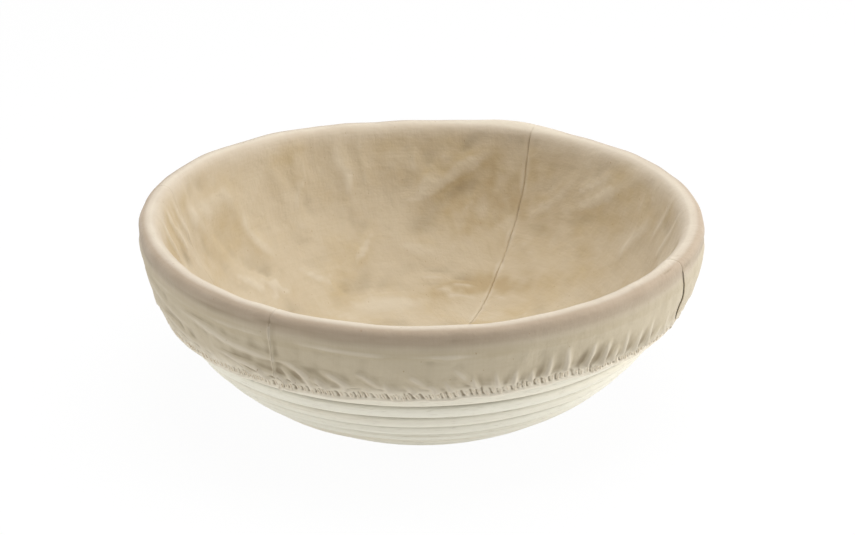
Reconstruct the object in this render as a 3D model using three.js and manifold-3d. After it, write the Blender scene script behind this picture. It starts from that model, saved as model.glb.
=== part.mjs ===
// Round proofing basket: a bowl wound turn upon turn from lengths of peeled rattan cane, pinned together
// with brads, and a cloth liner of four gores folded over its rim and drawn in below it by an elastic in
// the hem. Millimetres, +Z up. The basket stands on Z = 0 and its axis is the Z axis.

import * as THREE from "three";
import { mergeVertices } from "three/addons/utils/BufferGeometryUtils.js";
import Module from "manifold-3d";

const wasm = await Module();
wasm.setup();

// Driving dimensions, in millimetres unless a name says otherwise

// Bowl, measured along the middle of the cane
const RIM_RADIUS = 119.2;
const RIM_HEIGHT = 79;
const BASE_RADIUS = 52;
const WALL_FULLNESS = 1.64; // 1 is a straight cone from base to rim, 2 a quarter ellipse

// Cane
const CANE_WIDTH = 8.5; // from turn to turn
const CANE_DEPTH = 8; // from the inside of the bowl to the outside
const TURN_GAP = 0.5; // between neighbouring turns
const EYE_RADIUS = 3.5; // hole left at the middle of the base
const SANDED_DEPTH = 0.8; // ground off the underside so that the basket stands flat
const SCARF_LENGTH = 14; // slanting joint between two lengths of cane
const SCARF_GAP = 0.9; // along the cane, between the slanting faces
const RIM_TAPER_TURNS = 0.6; // last stretch, pared down so that the rim stays level
const CANE_END_DEGREES = -15; // where the pared end lies

// Brads that pin each turn to the one before it
const BRAD_RADIUS = 0.6;
const BRAD_TIP = 2;
const BRAD_BITE = 3; // how far the tip goes into the turn below
const BRAD_SINK = 0.6; // head below the cane's edge
const BRAD_CLEARANCE = 0.3;

// Liner
const CLOTH = 0.7;
const LINER_SEAT = 0.7; // between the cane and the cloth inside the bowl
const RIM_EASE = 0.9; // between the cane and the cloth over the rim
const RIM_ARCH_FULLNESS = 2.6; // 2 is a half ellipse over the rim, more is squarer
const SKIRT_DROP = 29.5; // from the middle of the rim cane down the wall to the hem's edge
const SKIRT_SEAT = 0.4; // between the cane and the hem
const ELASTIC_WIDTH = 6;
const ELASTIC_THICKNESS = 0.8;
const ELASTIC_CLEARANCE = 0.3;
const GATHER_DEPTH = 1.3; // how far the folds stand out above the hem
const SEAM_GAP = 0.4; // between neighbouring gores
const SEAM_DEGREES = [64, 168, 241, 334]; // where the seams lie, a gore between each two

// Counts
const STEPS_PER_TURN = 24;
const BASE_BRADS = 10;
const WALL_BRADS = 15; // in each of the wall's two lengths
const GORES = SEAM_DEGREES.length;
const LINER_COLUMNS = 2 * STEPS_PER_TURN; // a fold rises on every second one
const BRAD_SIDES = 4;

// What follows from them
const PITCH = CANE_WIDTH + TURN_GAP;
const HALF_WIDTH = CANE_WIDTH / 2;
const HALF_DEPTH = CANE_DEPTH / 2;
const BASE_HEIGHT = HALF_DEPTH - SANDED_DEPTH;
const STEP = (2 * Math.PI) / STEPS_PER_TURN;
const CANE_END = THREE.MathUtils.degToRad(CANE_END_DEGREES);
const HEM_POCKET = ELASTIC_THICKNESS + 2 * ELASTIC_CLEARANCE;
const HEM_HEIGHT = CLOTH + ELASTIC_WIDTH + 2 * ELASTIC_CLEARANCE;

// The bowl's meridian: flat from the axis to the base's edge, then a superellipse up to the rim, which
// leaves the base level and reaches the rim upright. Lengths along it are measured from the axis.
const MERIDIAN = (() => {
  const samples = 240;
  const power = 2 / WALL_FULLNESS;
  const points = [new THREE.Vector2(0, BASE_HEIGHT)];
  for (let i = 0; i <= samples; i++) {
    const angle = (Math.PI / 2) * (1 - i / samples);
    const r = BASE_RADIUS + (RIM_RADIUS - BASE_RADIUS) * Math.cos(angle) ** power;
    const z = BASE_HEIGHT + (RIM_HEIGHT - BASE_HEIGHT) * (1 - Math.sin(angle) ** power);
    points.push(new THREE.Vector2(r, z));
  }
  const lengths = [0];
  for (let i = 1; i < points.length; i++) {
    lengths.push(lengths[i - 1] + points[i].distanceTo(points[i - 1]));
  }
  return { points, lengths };
})();
const RIM_LENGTH = MERIDIAN.lengths.at(-1);

// A place on the meridian at the length, and the direction along it. Past the rim it runs on straight.
function meridianAt(length) {
  const { points, lengths } = MERIDIAN;
  let i = lengths.findIndex((l) => l > length);
  if (i < 1) i = i === 0 ? 1 : points.length - 1;
  const along = new THREE.Vector2().subVectors(points[i], points[i - 1]).normalize();
  const place = points[i - 1].clone().addScaledVector(along, length - lengths[i - 1]);
  return { place, along };
}

// The point that lies so far along the meridian, and so far out of the bowl (or into it, when negative).
function wallPoint(length, out) {
  const { place, along } = meridianAt(length);
  return new THREE.Vector2(place.x + out * along.y, place.y - out * along.x);
}

// A solid's geometry with its shared vertices merged, for joining and cutting.
function toManifold(geometry) {
  const bare = geometry.index ? geometry.toNonIndexed() : geometry.clone();
  bare.deleteAttribute("normal");
  bare.deleteAttribute("uv");
  const merged = mergeVertices(bare, 1e-4);
  return new wasm.Manifold(
    new wasm.Mesh({
      numProp: 3,
      vertProperties: merged.getAttribute("position").array,
      triVerts: new Uint32Array(merged.index.array),
    }),
  );
}

function fromManifold(solid) {
  const mesh = solid.getMesh();
  const geometry = new THREE.BufferGeometry();
  geometry.setAttribute("position", new THREE.BufferAttribute(mesh.vertProperties, 3));
  geometry.setIndex(new THREE.BufferAttribute(mesh.triVerts, 1));
  geometry.computeVertexNormals();
  return geometry;
}

// A closed skin over rings of points of equal count, with the two ends capped with fans.
function skinRings(rings) {
  const count = rings[0].length;
  const positions = rings.flat().flatMap((p) => [p.x, p.y, p.z]);
  const faces = [];
  for (let i = 0; i + 1 < rings.length; i++) {
    for (let j = 0; j < count; j++) {
      const a = i * count + j;
      const b = i * count + ((j + 1) % count);
      faces.push(a, b, a + count, b, b + count, a + count);
    }
  }
  const last = (rings.length - 1) * count;
  for (let j = 1; j + 1 < count; j++) {
    faces.push(0, j + 1, j);
    faces.push(last, last + j, last + j + 1);
  }
  const geometry = new THREE.BufferGeometry();
  geometry.setAttribute("position", new THREE.Float32BufferAttribute(positions, 3));
  geometry.setIndex(faces);
  geometry.computeVertexNormals();
  return geometry;
}

// Winding. The cane is counted in steps from the eye of the base to the pared end at the rim.
const END_LENGTH = RIM_LENGTH + RIM_TAPER_TURNS * PITCH;
const STEPS = Math.round(((END_LENGTH - EYE_RADIUS - HALF_WIDTH) / PITCH) * STEPS_PER_TURN);
const windingAngle = (step) => CANE_END - (STEPS - step) * STEP;
const windingLength = (step) => END_LENGTH - ((STEPS - step) / STEPS_PER_TURN) * PITCH;
const stepAt = (length) => Math.round(STEPS - ((END_LENGTH - length) / PITCH) * STEPS_PER_TURN);

// A point of the cane at a step: u runs from the turn below to the turn above, v from inside to outside.
function canePoint(step, u, v) {
  const p = wallPoint(windingLength(step), 0);
  const { along } = meridianAt(windingLength(step));
  const r = p.x + u * along.x + v * along.y;
  const z = Math.max(0, p.y + u * along.y - v * along.x);
  const angle = windingAngle(step);
  return new THREE.Vector3(r * Math.cos(angle), r * Math.sin(angle), z);
}

// The six corners of the cane's section, flat inside and outside. Past the rim's level the upper side is
// pared away, so that the rim stays level while the lower side still climbs, and the flats go with it.
function caneSection(step) {
  const pared = Math.max(0, windingLength(step) - RIM_LENGTH);
  const half = HALF_WIDTH - pared / 2;
  const middle = -pared / 2;
  const depth = HALF_DEPTH * (1 - pared / (2 * CANE_WIDTH));
  return [
    [middle + half, 0],
    [middle + half / 2, depth],
    [middle - half / 2, depth],
    [middle - half, 0],
    [middle - half / 2, -depth],
    [middle + half / 2, -depth],
  ];
}

// One section ring. An end that is scarfed slants from the inside of the bowl to the outside.
function caneRing(step, scarf = 0, gap = 0) {
  const stepRun = meridianAt(windingLength(step)).place.x * STEP;
  return caneSection(step).map(([u, v]) => {
    const slant = scarf * (v / HALF_DEPTH) * (SCARF_LENGTH / 2);
    return canePoint(step + (slant + gap) / stepRun, u, v);
  });
}

// A length of cane between two steps, scarfed where it meets another length.
function caneLength(first, last) {
  const rings = [];
  for (let step = first; step <= last; step++) {
    if (step === first && first > 0) rings.push(caneRing(step, 1, SCARF_GAP / 2));
    else if (step === last && last < STEPS) rings.push(caneRing(step, 1, -SCARF_GAP / 2));
    else rings.push(caneRing(step));
  }
  return rings;
}

// The least gap between a wound length and its own neighbouring turns, on the corners of its sections.
function leastGap(rings) {
  let least = Infinity;
  const apart = STEPS_PER_TURN / 2;
  rings.forEach((ring, i) => {
    rings.slice(i + apart).forEach((other) => {
      for (const p of ring) for (const q of other) least = Math.min(least, p.distanceTo(q));
    });
  });
  return least;
}

// The cane is joined where the base ends and half way up the wall.
const JOINTS = [stepAt(BASE_RADIUS), stepAt((BASE_RADIUS + RIM_LENGTH) / 2)];

// Brads are spread evenly along each length, which sets those of one turn between those of the turn below.
// One that would meet a joint, or a brad of its own turn or the turn below, moves on to the next clear step.
function bradSteps() {
  const steps = [];
  const joined = (step) => JOINTS.some((joint) => Math.abs(step + 0.5 - joint) < 2);
  const apart = (step) => steps.every((other) => Math.abs(step - other) > 1);
  const clear = (step) => !joined(step) && apart(step);
  const spread = (first, last, count) => {
    for (let i = 0; i < count; i++) {
      let step = Math.round(first + ((last - first) * (i + 0.5)) / count);
      while (!clear(step) || !clear(step - STEPS_PER_TURN)) step++;
      steps.push(step);
    }
  };
  spread(STEPS_PER_TURN, JOINTS[0], BASE_BRADS);
  spread(JOINTS[0], JOINTS[1], WALL_BRADS);
  spread(JOINTS[1], stepAt(RIM_LENGTH), WALL_BRADS);
  return steps;
}

// Each brad goes down through a turn, along the wall, into the turn below it.
function bradPlaces() {
  const middle = (step) => canePoint(step, 0, 0).add(canePoint(step + 1, 0, 0)).multiplyScalar(0.5);
  return bradSteps().map((step) => {
    const upper = middle(step);
    const lower = middle(step - STEPS_PER_TURN);
    const down = new THREE.Vector3().subVectors(lower, upper).normalize();
    const head = upper.clone().addScaledVector(down, BRAD_SINK - HALF_WIDTH);
    const length = head.distanceTo(lower) - HALF_WIDTH + BRAD_BITE;
    return { head, down, length };
  });
}

// A solid turned about Z becomes one that runs down a brad's line, from its head.
function alongBrad(geometry, { head, down }) {
  const turn = new THREE.Quaternion().setFromUnitVectors(new THREE.Vector3(0, 0, 1), down);
  return geometry.applyQuaternion(turn).translate(head.x, head.y, head.z);
}

function turnedProfile(points, sides) {
  const profile = points.map(([r, z]) => new THREE.Vector2(r, z));
  return new THREE.LatheGeometry(profile, sides).rotateX(Math.PI / 2);
}

function bradGeometry(place) {
  const { length } = place;
  const profile = [
    [0, 0],
    [BRAD_RADIUS, 0],
    [BRAD_RADIUS, length - BRAD_TIP],
    [0, length],
  ];
  return alongBrad(orient(turnedProfile(profile, BRAD_SIDES)), place);
}

// The hole for a brad opens at the turn's upper edge, short of the next turn.
function bradHole(place) {
  const radius = BRAD_RADIUS + BRAD_CLEARANCE;
  const top = -BRAD_SINK - TURN_GAP / 2;
  const bottom = place.length + BRAD_CLEARANCE;
  const profile = [
    [0, top],
    [radius, top],
    [radius, bottom],
    [0, bottom],
  ];
  return toManifold(alongBrad(orient(turnedProfile(profile, BRAD_SIDES)), place));
}

// Turns a closed geometry's faces outwards.
function orient(geometry) {
  const merged = geometry.index ? geometry : mergeVertices(geometry);
  const p = merged.getAttribute("position");
  const index = merged.index.array;
  const [a, b, c] = [0, 0, 0].map(() => new THREE.Vector3());
  let volume = 0;
  for (let i = 0; i < index.length; i += 3) {
    a.fromBufferAttribute(p, index[i]);
    b.fromBufferAttribute(p, index[i + 1]);
    c.fromBufferAttribute(p, index[i + 2]);
    volume += a.dot(b.cross(c));
  }
  if (volume < 0) {
    for (let i = 0; i < index.length; i += 3) [index[i + 1], index[i + 2]] = [index[i + 2], index[i + 1]];
  }
  return merged;
}

// Liner. Inside the bowl the cloth clears the flats of the faceted cane, whose middles lie nearer the axis.
const facetSag = (radius) => radius * (1 - Math.cos(STEP / 2));

// The cloth's section on one column, from the axis out along its underside, over the rim, down inside the
// skirt, round the hem's pocket, and back along its other face. A fold lifts the skirt's outer layer.
function linerProfile(fold) {
  const wallRows = [0, BASE_RADIUS];
  const rises = 5;
  for (let i = 1; i <= rises; i++) wallRows.push(BASE_RADIUS + ((RIM_LENGTH - BASE_RADIUS) * i) / rises);
  const bowl = (thickness) =>
    wallRows.map((length) => {
      const sag = facetSag(meridianAt(length).place.x);
      return wallPoint(length, -(HALF_DEPTH + LINER_SEAT + sag + thickness));
    });

  // A full round arch over the top of the rim cane, from the cloth inside the bowl to the skirt.
  const arch = (thickness) => {
    const inner = wallPoint(RIM_LENGTH, -(HALF_DEPTH + LINER_SEAT + facetSag(RIM_RADIUS) + thickness));
    const outer = wallPoint(RIM_LENGTH, HALF_DEPTH + RIM_EASE + thickness);
    const rise = HALF_WIDTH + RIM_EASE + thickness;
    const middle = (inner.x + outer.x) / 2;
    const half = (outer.x - inner.x) / 2;
    const rounded = (value) => Math.sign(value) * Math.abs(value) ** (2 / RIM_ARCH_FULLNESS);
    return [1, 2, 3, 4].map((fifth) => {
      const angle = Math.PI * (1 - fifth / 5);
      const across = half * rounded(Math.cos(angle));
      return new THREE.Vector2(middle + across, inner.y + rise * rounded(Math.sin(angle)));
    });
  };

  // The skirt's outer layer stands off the cane by the pocket's room, and swells into folds above the hem.
  const edge = RIM_LENGTH - SKIRT_DROP;
  const pocketTop = edge + HEM_HEIGHT;
  const layer = HALF_DEPTH + SKIRT_SEAT;
  const skirtRows = [1, 0.5, 0];
  const skirt = (thickness) =>
    skirtRows.map((share) => {
      const stand = THREE.MathUtils.lerp(layer + CLOTH + HEM_POCKET, HALF_DEPTH + RIM_EASE, share);
      const lift = fold * GATHER_DEPTH * (1 - share);
      return wallPoint(THREE.MathUtils.lerp(pocketTop, RIM_LENGTH, share), stand + lift + thickness);
    });
  const hemLift = (fold * GATHER_DEPTH) / 2;
  const pocket = [
    wallPoint(edge + CLOTH, layer + CLOTH + HEM_POCKET + hemLift),
    wallPoint(edge + CLOTH, layer + CLOTH),
    wallPoint(pocketTop, layer + CLOTH),
    wallPoint(pocketTop, layer),
    wallPoint(edge, layer),
    wallPoint(edge, layer + 2 * CLOTH + HEM_POCKET + hemLift),
  ];
  const underside = [...bowl(0), ...arch(0), ...skirt(0)];
  const face = [...bowl(CLOTH), ...arch(CLOTH), ...skirt(CLOTH)].reverse();
  return [...underside, ...pocket, ...face];
}

// The whole liner as one closed shell, its first and last profile points on the axis.
function linerShell() {
  const columns = [];
  for (let j = 0; j < LINER_COLUMNS; j++) {
    const angle = CANE_END + (2 * Math.PI * j) / LINER_COLUMNS;
    const profile = linerProfile(j % 2);
    columns.push(profile.map((p) => new THREE.Vector3(p.x * Math.cos(angle), p.x * Math.sin(angle), p.y)));
  }
  const rows = columns[0].length;
  const positions = columns.flat().flatMap((p) => [p.x, p.y, p.z]);
  const faces = [];
  for (let j = 0; j < LINER_COLUMNS; j++) {
    const here = j * rows;
    const next = ((j + 1) % LINER_COLUMNS) * rows;
    for (let k = 0; k + 1 < rows; k++) {
      if (k > 0) faces.push(here + k, here + k + 1, next + k);
      if (k + 2 < rows) faces.push(here + k + 1, next + k + 1, next + k);
    }
  }
  const geometry = new THREE.BufferGeometry();
  geometry.setAttribute("position", new THREE.Float32BufferAttribute(positions, 3));
  geometry.setIndex(faces);
  return geometry;
}

// The wedge of space that one gore fills, set back from the seams at both sides.
function goreWedge(number) {
  const start = THREE.MathUtils.degToRad(SEAM_DEGREES[number]);
  const end = THREE.MathUtils.degToRad(SEAM_DEGREES[(number + 1) % GORES]);
  const spread = THREE.MathUtils.euclideanModulo(end - start, 2 * Math.PI);
  const bisector = start + spread / 2;
  const setBack = SEAM_GAP / 2 / Math.sin(spread / 2);
  const reach = 2 * (RIM_RADIUS + CANE_DEPTH);
  const tip = new THREE.Vector2(setBack * Math.cos(bisector), setBack * Math.sin(bisector));
  const shape = new THREE.Shape([
    tip,
    new THREE.Vector2(tip.x + reach * Math.cos(start), tip.y + reach * Math.sin(start)),
    new THREE.Vector2(tip.x + reach * Math.cos(start + spread), tip.y + reach * Math.sin(start + spread)),
  ]);
  return toManifold(new THREE.ExtrudeGeometry(shape, { depth: 2 * RIM_HEIGHT, bevelEnabled: false }));
}

// The elastic lies flat in the hem's pocket, against the layer next to the cane.
function elasticGeometry() {
  const low = RIM_LENGTH - SKIRT_DROP + CLOTH + ELASTIC_CLEARANCE;
  const high = low + ELASTIC_WIDTH;
  const inside = HALF_DEPTH + SKIRT_SEAT + CLOTH + ELASTIC_CLEARANCE;
  const outside = inside + ELASTIC_THICKNESS;
  const corners = [
    wallPoint(low, inside),
    wallPoint(low, outside),
    wallPoint(high, outside),
    wallPoint(high, inside),
    wallPoint(low, inside),
  ];
  const ring = new THREE.LatheGeometry(corners, LINER_COLUMNS).rotateX(Math.PI / 2);
  return ring.rotateZ(CANE_END);
}

// Materials
const cane = new THREE.MeshStandardMaterial({ color: 0xe4ddc8, roughness: 0.6, metalness: 0 });
const cloth = new THREE.MeshStandardMaterial({ color: 0xd2bd98, roughness: 0.95, metalness: 0 });
const rubber = new THREE.MeshStandardMaterial({ color: 0xeeeae0, roughness: 0.9, metalness: 0 });
const steel = new THREE.MeshStandardMaterial({ color: 0xa8aaad, roughness: 0.4, metalness: 1 });

function piece(name, geometry, material) {
  const mesh = new THREE.Mesh(geometry, material);
  mesh.name = name;
  return mesh;
}

const basket = new THREE.Group();
const brads = bradPlaces();
const holes = wasm.Manifold.union(brads.map(bradHole));
const lengths = [
  ["base_cane", 0, JOINTS[0]],
  ["lower_wall_cane", JOINTS[0], JOINTS[1]],
  ["upper_wall_cane", JOINTS[1], STEPS],
];
for (const [name, first, last] of lengths) {
  const rings = caneLength(first, last);
  const turns = ((last - first) / STEPS_PER_TURN).toFixed(1);
  console.log(`${name}: ${turns} turns, least gap to itself ${leastGap(rings).toFixed(2)} mm`);
  basket.add(piece(name, fromManifold(toManifold(orient(skinRings(rings))).subtract(holes)), cane));
}
brads.forEach((place, i) => {
  basket.add(piece(`brad_${String(i + 1).padStart(2, "0")}`, bradGeometry(place), steel));
});

const liner = new THREE.Group();
const shell = toManifold(orient(linerShell()));
for (let i = 0; i < GORES; i++) {
  liner.add(piece(`liner_gore_${i + 1}`, fromManifold(shell.intersect(goreWedge(i))), cloth));
}
liner.add(piece("hem_elastic", orient(elasticGeometry()), rubber));

const proofingBasket = new THREE.Group();
proofingBasket.add(basket, liner);

export default proofingBasket;
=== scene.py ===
"""Dresses the proofing basket: a bowl wound from cane, and a gathered cloth liner folded over its rim."""

import logging
import math
from collections.abc import Iterator
from contextlib import contextmanager
from dataclasses import dataclass, field
from enum import Enum, IntEnum
from functools import cached_property

import bpy
import numpy as np
from mathutils import Euler, Matrix, Vector


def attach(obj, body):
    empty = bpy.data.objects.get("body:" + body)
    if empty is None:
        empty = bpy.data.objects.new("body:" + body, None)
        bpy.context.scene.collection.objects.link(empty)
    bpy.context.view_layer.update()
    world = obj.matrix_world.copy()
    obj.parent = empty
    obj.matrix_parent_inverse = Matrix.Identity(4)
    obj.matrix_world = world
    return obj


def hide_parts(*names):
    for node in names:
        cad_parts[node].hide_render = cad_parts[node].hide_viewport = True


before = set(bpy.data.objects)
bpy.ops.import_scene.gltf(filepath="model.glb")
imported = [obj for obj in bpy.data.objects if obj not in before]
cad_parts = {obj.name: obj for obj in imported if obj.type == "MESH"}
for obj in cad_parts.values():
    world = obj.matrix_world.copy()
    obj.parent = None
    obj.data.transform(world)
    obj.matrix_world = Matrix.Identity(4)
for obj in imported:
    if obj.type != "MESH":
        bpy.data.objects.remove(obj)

LOG = logging.getLogger("proofing_basket")
MM = 0.001
WHITE = (1.0, 1.0, 1.0, 1.0)
Array = np.ndarray
Colour = tuple[float, float, float]
Piece = bpy.types.Object
Material = bpy.types.Material
Tree = bpy.types.NodeTree
Node = bpy.types.Node
Socket = bpy.types.NodeSocket


class Body(str, Enum):
    """The two bodies that the pieces ride on."""

    BASKET = "basket"
    LINER = "liner"


class Slot(str, Enum):
    """The record's material slots for cane, cloth and elastic."""

    CANE = "cane"
    CLOTH = "liner_cloth"
    ELASTIC = "elastic"


# Curves


def unit(value: Array) -> Array:
    """Holds values between 0 and 1."""
    return np.clip(value, 0, 1)


def eased(share: Array) -> Array:
    """Makes a rise from 0 to 1 start and end gently."""
    return share * share * (3 - 2 * share)


def bell(value: Array, width: float) -> Array:
    """A bump that is 1 at zero and fades out over the width."""
    return np.exp(-((value / width) ** 2))


def turn_from(angle: Array, other: Array | float) -> Array:
    """The shorter turn from another angle to this one, in radians."""
    return np.angle(np.exp(1j * (angle - other)))


# Forms


@dataclass(frozen=True)
class BowlForm:
    """The bowl's curve and the cane wound along it, in millimetres along the middle of the cane."""

    rim_radius: float = 119.2
    rim_height: float = 79.0
    base_radius: float = 52.0
    wall_fullness: float = 1.64
    cane_width: float = 8.5
    cane_depth: float = 8.0
    turn_gap: float = 0.5
    eye_radius: float = 3.5
    sanded_depth: float = 0.8
    scarf_length: float = 14.0
    scarf_gap: float = 0.5
    rim_taper_turns: float = 0.6
    cane_end_degrees: float = -15.0
    steps_per_turn: int = 24
    rim_slimming: float = 1.2
    rim_saddle: float = 1.4
    end_dip: float = 0.9
    lift_reach: float = 70.0
    dip_degrees: float = 140.0
    dip_edge_degrees: float = 6.0
    curve_samples: int = 241
    run_on: float = 40.0
    tangent_reach: float = 1.2

    @property
    def pitch(self) -> float:
        """Distance from one turn to the next."""
        return self.cane_width + self.turn_gap

    @property
    def base_height(self) -> float:
        """Height of the cane's middle in the base."""
        return self.cane_depth / 2 - self.sanded_depth

    @cached_property
    def meridian(self) -> tuple[Array, Array, Array]:
        """The curve from the axis to the rim, and straight on above it.

        Returns:
            Lengths along the curve, radii and heights.
        """
        power = 2 / self.wall_fullness
        angle = np.linspace(math.pi / 2, 0, self.curve_samples)
        radius = self.base_radius + (self.rim_radius - self.base_radius) * np.cos(angle) ** power
        height = self.base_height + (self.rim_height - self.base_height) * (1 - np.sin(angle) ** power)
        radius = np.concatenate([[0], radius, [self.rim_radius]])
        height = np.concatenate([[self.base_height], height, [self.rim_height + self.run_on]])
        steps = np.hypot(np.diff(radius), np.diff(height))
        return np.concatenate([[0], np.cumsum(steps)]), radius, height

    @property
    def rim_length(self) -> float:
        """Length along the curve at the rim."""
        return float(self.meridian[0][-2])

    @property
    def end_length(self) -> float:
        """Length along the curve at the cane's pared end."""
        return self.rim_length + self.rim_taper_turns * self.pitch

    @property
    def start_length(self) -> float:
        """Length along the curve where the cane starts, at the eye of the base."""
        run = self.end_length - self.eye_radius - self.cane_width / 2
        steps = round(run / self.pitch * self.steps_per_turn)
        return self.end_length - steps / self.steps_per_turn * self.pitch

    def step_length(self, length: float) -> float:
        """The length at the winding's step that is nearest to the given one."""
        step = self.pitch / self.steps_per_turn
        return self.end_length - round((self.end_length - length) / step) * step

    def slim_depth(self, length: Array) -> Array:
        """The cane's depth through the wall, which is less in the last turn, at the rim."""
        share = unit(1 - (self.rim_length - np.asarray(length)) / self.pitch)
        return self.cane_depth - self.rim_slimming * eased(share)

    def wall(self, length: Array, out: Array) -> tuple[Array, Array]:
        """Finds points beside the curve.

        Args:
            length: Length along the curve.
            out: Distance out of the bowl, or into it when negative.

        Returns:
            Radii and heights.
        """
        lengths, radius, height = self.meridian
        fore = np.asarray(length) + self.tangent_reach
        back = np.maximum(np.asarray(length) - self.tangent_reach, 0)
        along_r = np.interp(fore, lengths, radius) - np.interp(back, lengths, radius)
        along_z = np.interp(fore, lengths, height) - np.interp(back, lengths, height)
        size = np.hypot(along_r, along_z)
        r = np.interp(length, lengths, radius) + out * along_z / size
        z = np.interp(length, lengths, height) - out * along_r / size
        return r, z

    def turn_angle(self, length: Array) -> Array:
        """The winding's angle about the axis, in radians, at a length along the curve."""
        turns = (self.end_length - np.asarray(length)) / self.pitch
        return math.radians(self.cane_end_degrees) - 2 * math.pi * turns

    def rim_lift(self, angle: Array, length: Array) -> Array:
        """How the wall rises towards the rim: higher at the sides, and lower past the cane's pared end.

        Args:
            angle: Angles about the axis, in radians.
            length: Lengths along the curve.

        Returns:
            Millimetres upwards.
        """
        reach = unit(1 - (self.rim_length - length) / self.lift_reach) ** 1.5
        past = (np.degrees(angle) - self.cane_end_degrees) % 360
        dip = np.where(past < self.dip_degrees, 1 - past / self.dip_degrees, 0)
        dip = dip * unit(past / self.dip_edge_degrees) ** 2
        return reach * (self.rim_saddle * np.cos(2 * angle) - self.end_dip * dip)


@dataclass(frozen=True)
class SoftNoise:
    """Smooth seeded noise in space, for what handwork leaves uneven."""

    seed: int
    gain: float = 1.5

    @cached_property
    def tables(self) -> tuple[Array, Array]:
        """The seeded order and directions that the noise is made from."""
        rng = np.random.default_rng(self.seed)
        ways = rng.normal(size=(256, 3))
        return rng.permutation(256), ways / np.linalg.norm(ways, axis=1, keepdims=True)

    def at(self, x: Array, y: Array, z: Array) -> Array:
        """Gives the noise at points whose unit is the size of one swell.

        Args:
            x: First coordinate.
            y: Second coordinate.
            z: Third coordinate.

        Returns:
            Values from about -1 to 1.
        """
        order, ways = self.tables
        point = np.stack(np.broadcast_arrays(x, y, z), -1).astype(float)
        cell = np.floor(point).astype(int)
        part = point - cell
        ease = part**3 * (part * (part * 6 - 15) + 10)
        total = np.zeros(point.shape[:-1])
        for corner in np.ndindex(2, 2, 2):
            step = np.array(corner)
            c = cell + step
            pick = order[(order[(order[c[..., 0] & 255] + c[..., 1]) & 255] + c[..., 2]) & 255]
            weight = np.prod(np.where(step == 1, ease, 1 - ease), axis=-1)
            total += weight * np.einsum("...i,...i", ways[pick], part - step)
        return self.gain * total

    def around(self, angle: Array, fineness: float, level: Array | float) -> Array:
        """Gives the noise on rings about the axis.

        Args:
            angle: Angles about the axis.
            fineness: A ring's radius, in swells.
            level: The rings' heights, in swells.

        Returns:
            Values from about -1 to 1.
        """
        return self.at(np.cos(angle) * fineness, np.sin(angle) * fineness, level)


# Mesh work


def select_only(*pieces: Piece) -> None:
    """Deselects everything, then selects the pieces and makes the first one active."""
    bpy.ops.object.select_all(action="DESELECT")
    for piece in pieces:
        piece.select_set(True)
    bpy.context.view_layer.objects.active = pieces[0]


@contextmanager
def editing(piece: Piece) -> Iterator[None]:
    """Opens a piece in edit mode with all of it selected, and closes it again."""
    select_only(piece)
    bpy.ops.object.mode_set(mode="EDIT")
    bpy.ops.mesh.select_all(action="SELECT")
    yield
    bpy.ops.object.mode_set(mode="OBJECT")


def new_piece(name: str, points: Array, faces: Array) -> Piece:
    """Makes a mesh object at the origin.

    Args:
        name: The piece's name.
        points: Its points in millimetres.
        faces: Its faces, all with the same number of corners.

    Returns:
        The object, smooth shaded.
    """
    mesh = bpy.data.meshes.new(name)
    mesh.from_pydata((points * MM).tolist(), [], faces.tolist())
    mesh.validate()
    piece = bpy.data.objects.new(name, mesh)
    bpy.context.collection.objects.link(piece)
    mesh.polygons.foreach_set("use_smooth", np.ones(len(mesh.polygons), bool))
    return piece


def set_uv(piece: Piece, name: str, uv: Array) -> None:
    """Gives a piece a UV map from one pair of values, in metres, at each of its points."""
    mesh = piece.data
    corners = np.empty(len(mesh.loops), np.int32)
    mesh.loops.foreach_get("vertex_index", corners)
    layer = mesh.uv_layers.new(name=name)
    layer.data.foreach_set("uv", uv[corners].astype(np.float32).ravel())


def apply_modifier(piece: Piece, kind: str, **settings: object) -> None:
    """Adds a modifier with these settings and applies it."""
    select_only(piece)
    modifier = piece.modifiers.new(kind.title(), kind)
    for key, value in settings.items():
        setattr(modifier, key, value)
    bpy.ops.object.modifier_apply(modifier=modifier.name)


def blurred(values: Array, rows: int, columns: int) -> Array:
    """Averages a grid over a window.

    Args:
        values: The grid.
        rows: How many rows the window reaches to either side.
        columns: How many columns it reaches.

    Returns:
        The averages, with edge cells repeated past the grid's edges.
    """
    for axis, reach in ((0, rows), (1, columns)):
        pad = [(0, 0), (0, 0)]
        pad[axis] = (reach, reach)
        wide = np.pad(values, pad, mode="edge")
        shifts = range(2 * reach + 1)
        parts = (np.take(wide, range(k, k + values.shape[axis]), axis=axis) for k in shifts)
        values = sum(parts) / len(shifts)
    return values


def strip_faces(rows: int, columns: int, closed: bool = False) -> Array:
    """Quads over a grid of points that is stored row by row.

    Args:
        rows: Number of rows.
        columns: Points in each row.
        closed: Whether each row is a ring.

    Returns:
        Four point numbers for each quad.
    """
    row = np.arange(rows - 1)[:, None] * columns
    here = np.arange(columns if closed else columns - 1)[None]
    after = (here + 1) % columns
    corners = (row + here, row + after, row + columns + after, row + columns + here)
    return np.stack(np.broadcast_arrays(*corners), -1).reshape(-1, 4)


# Materials


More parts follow.
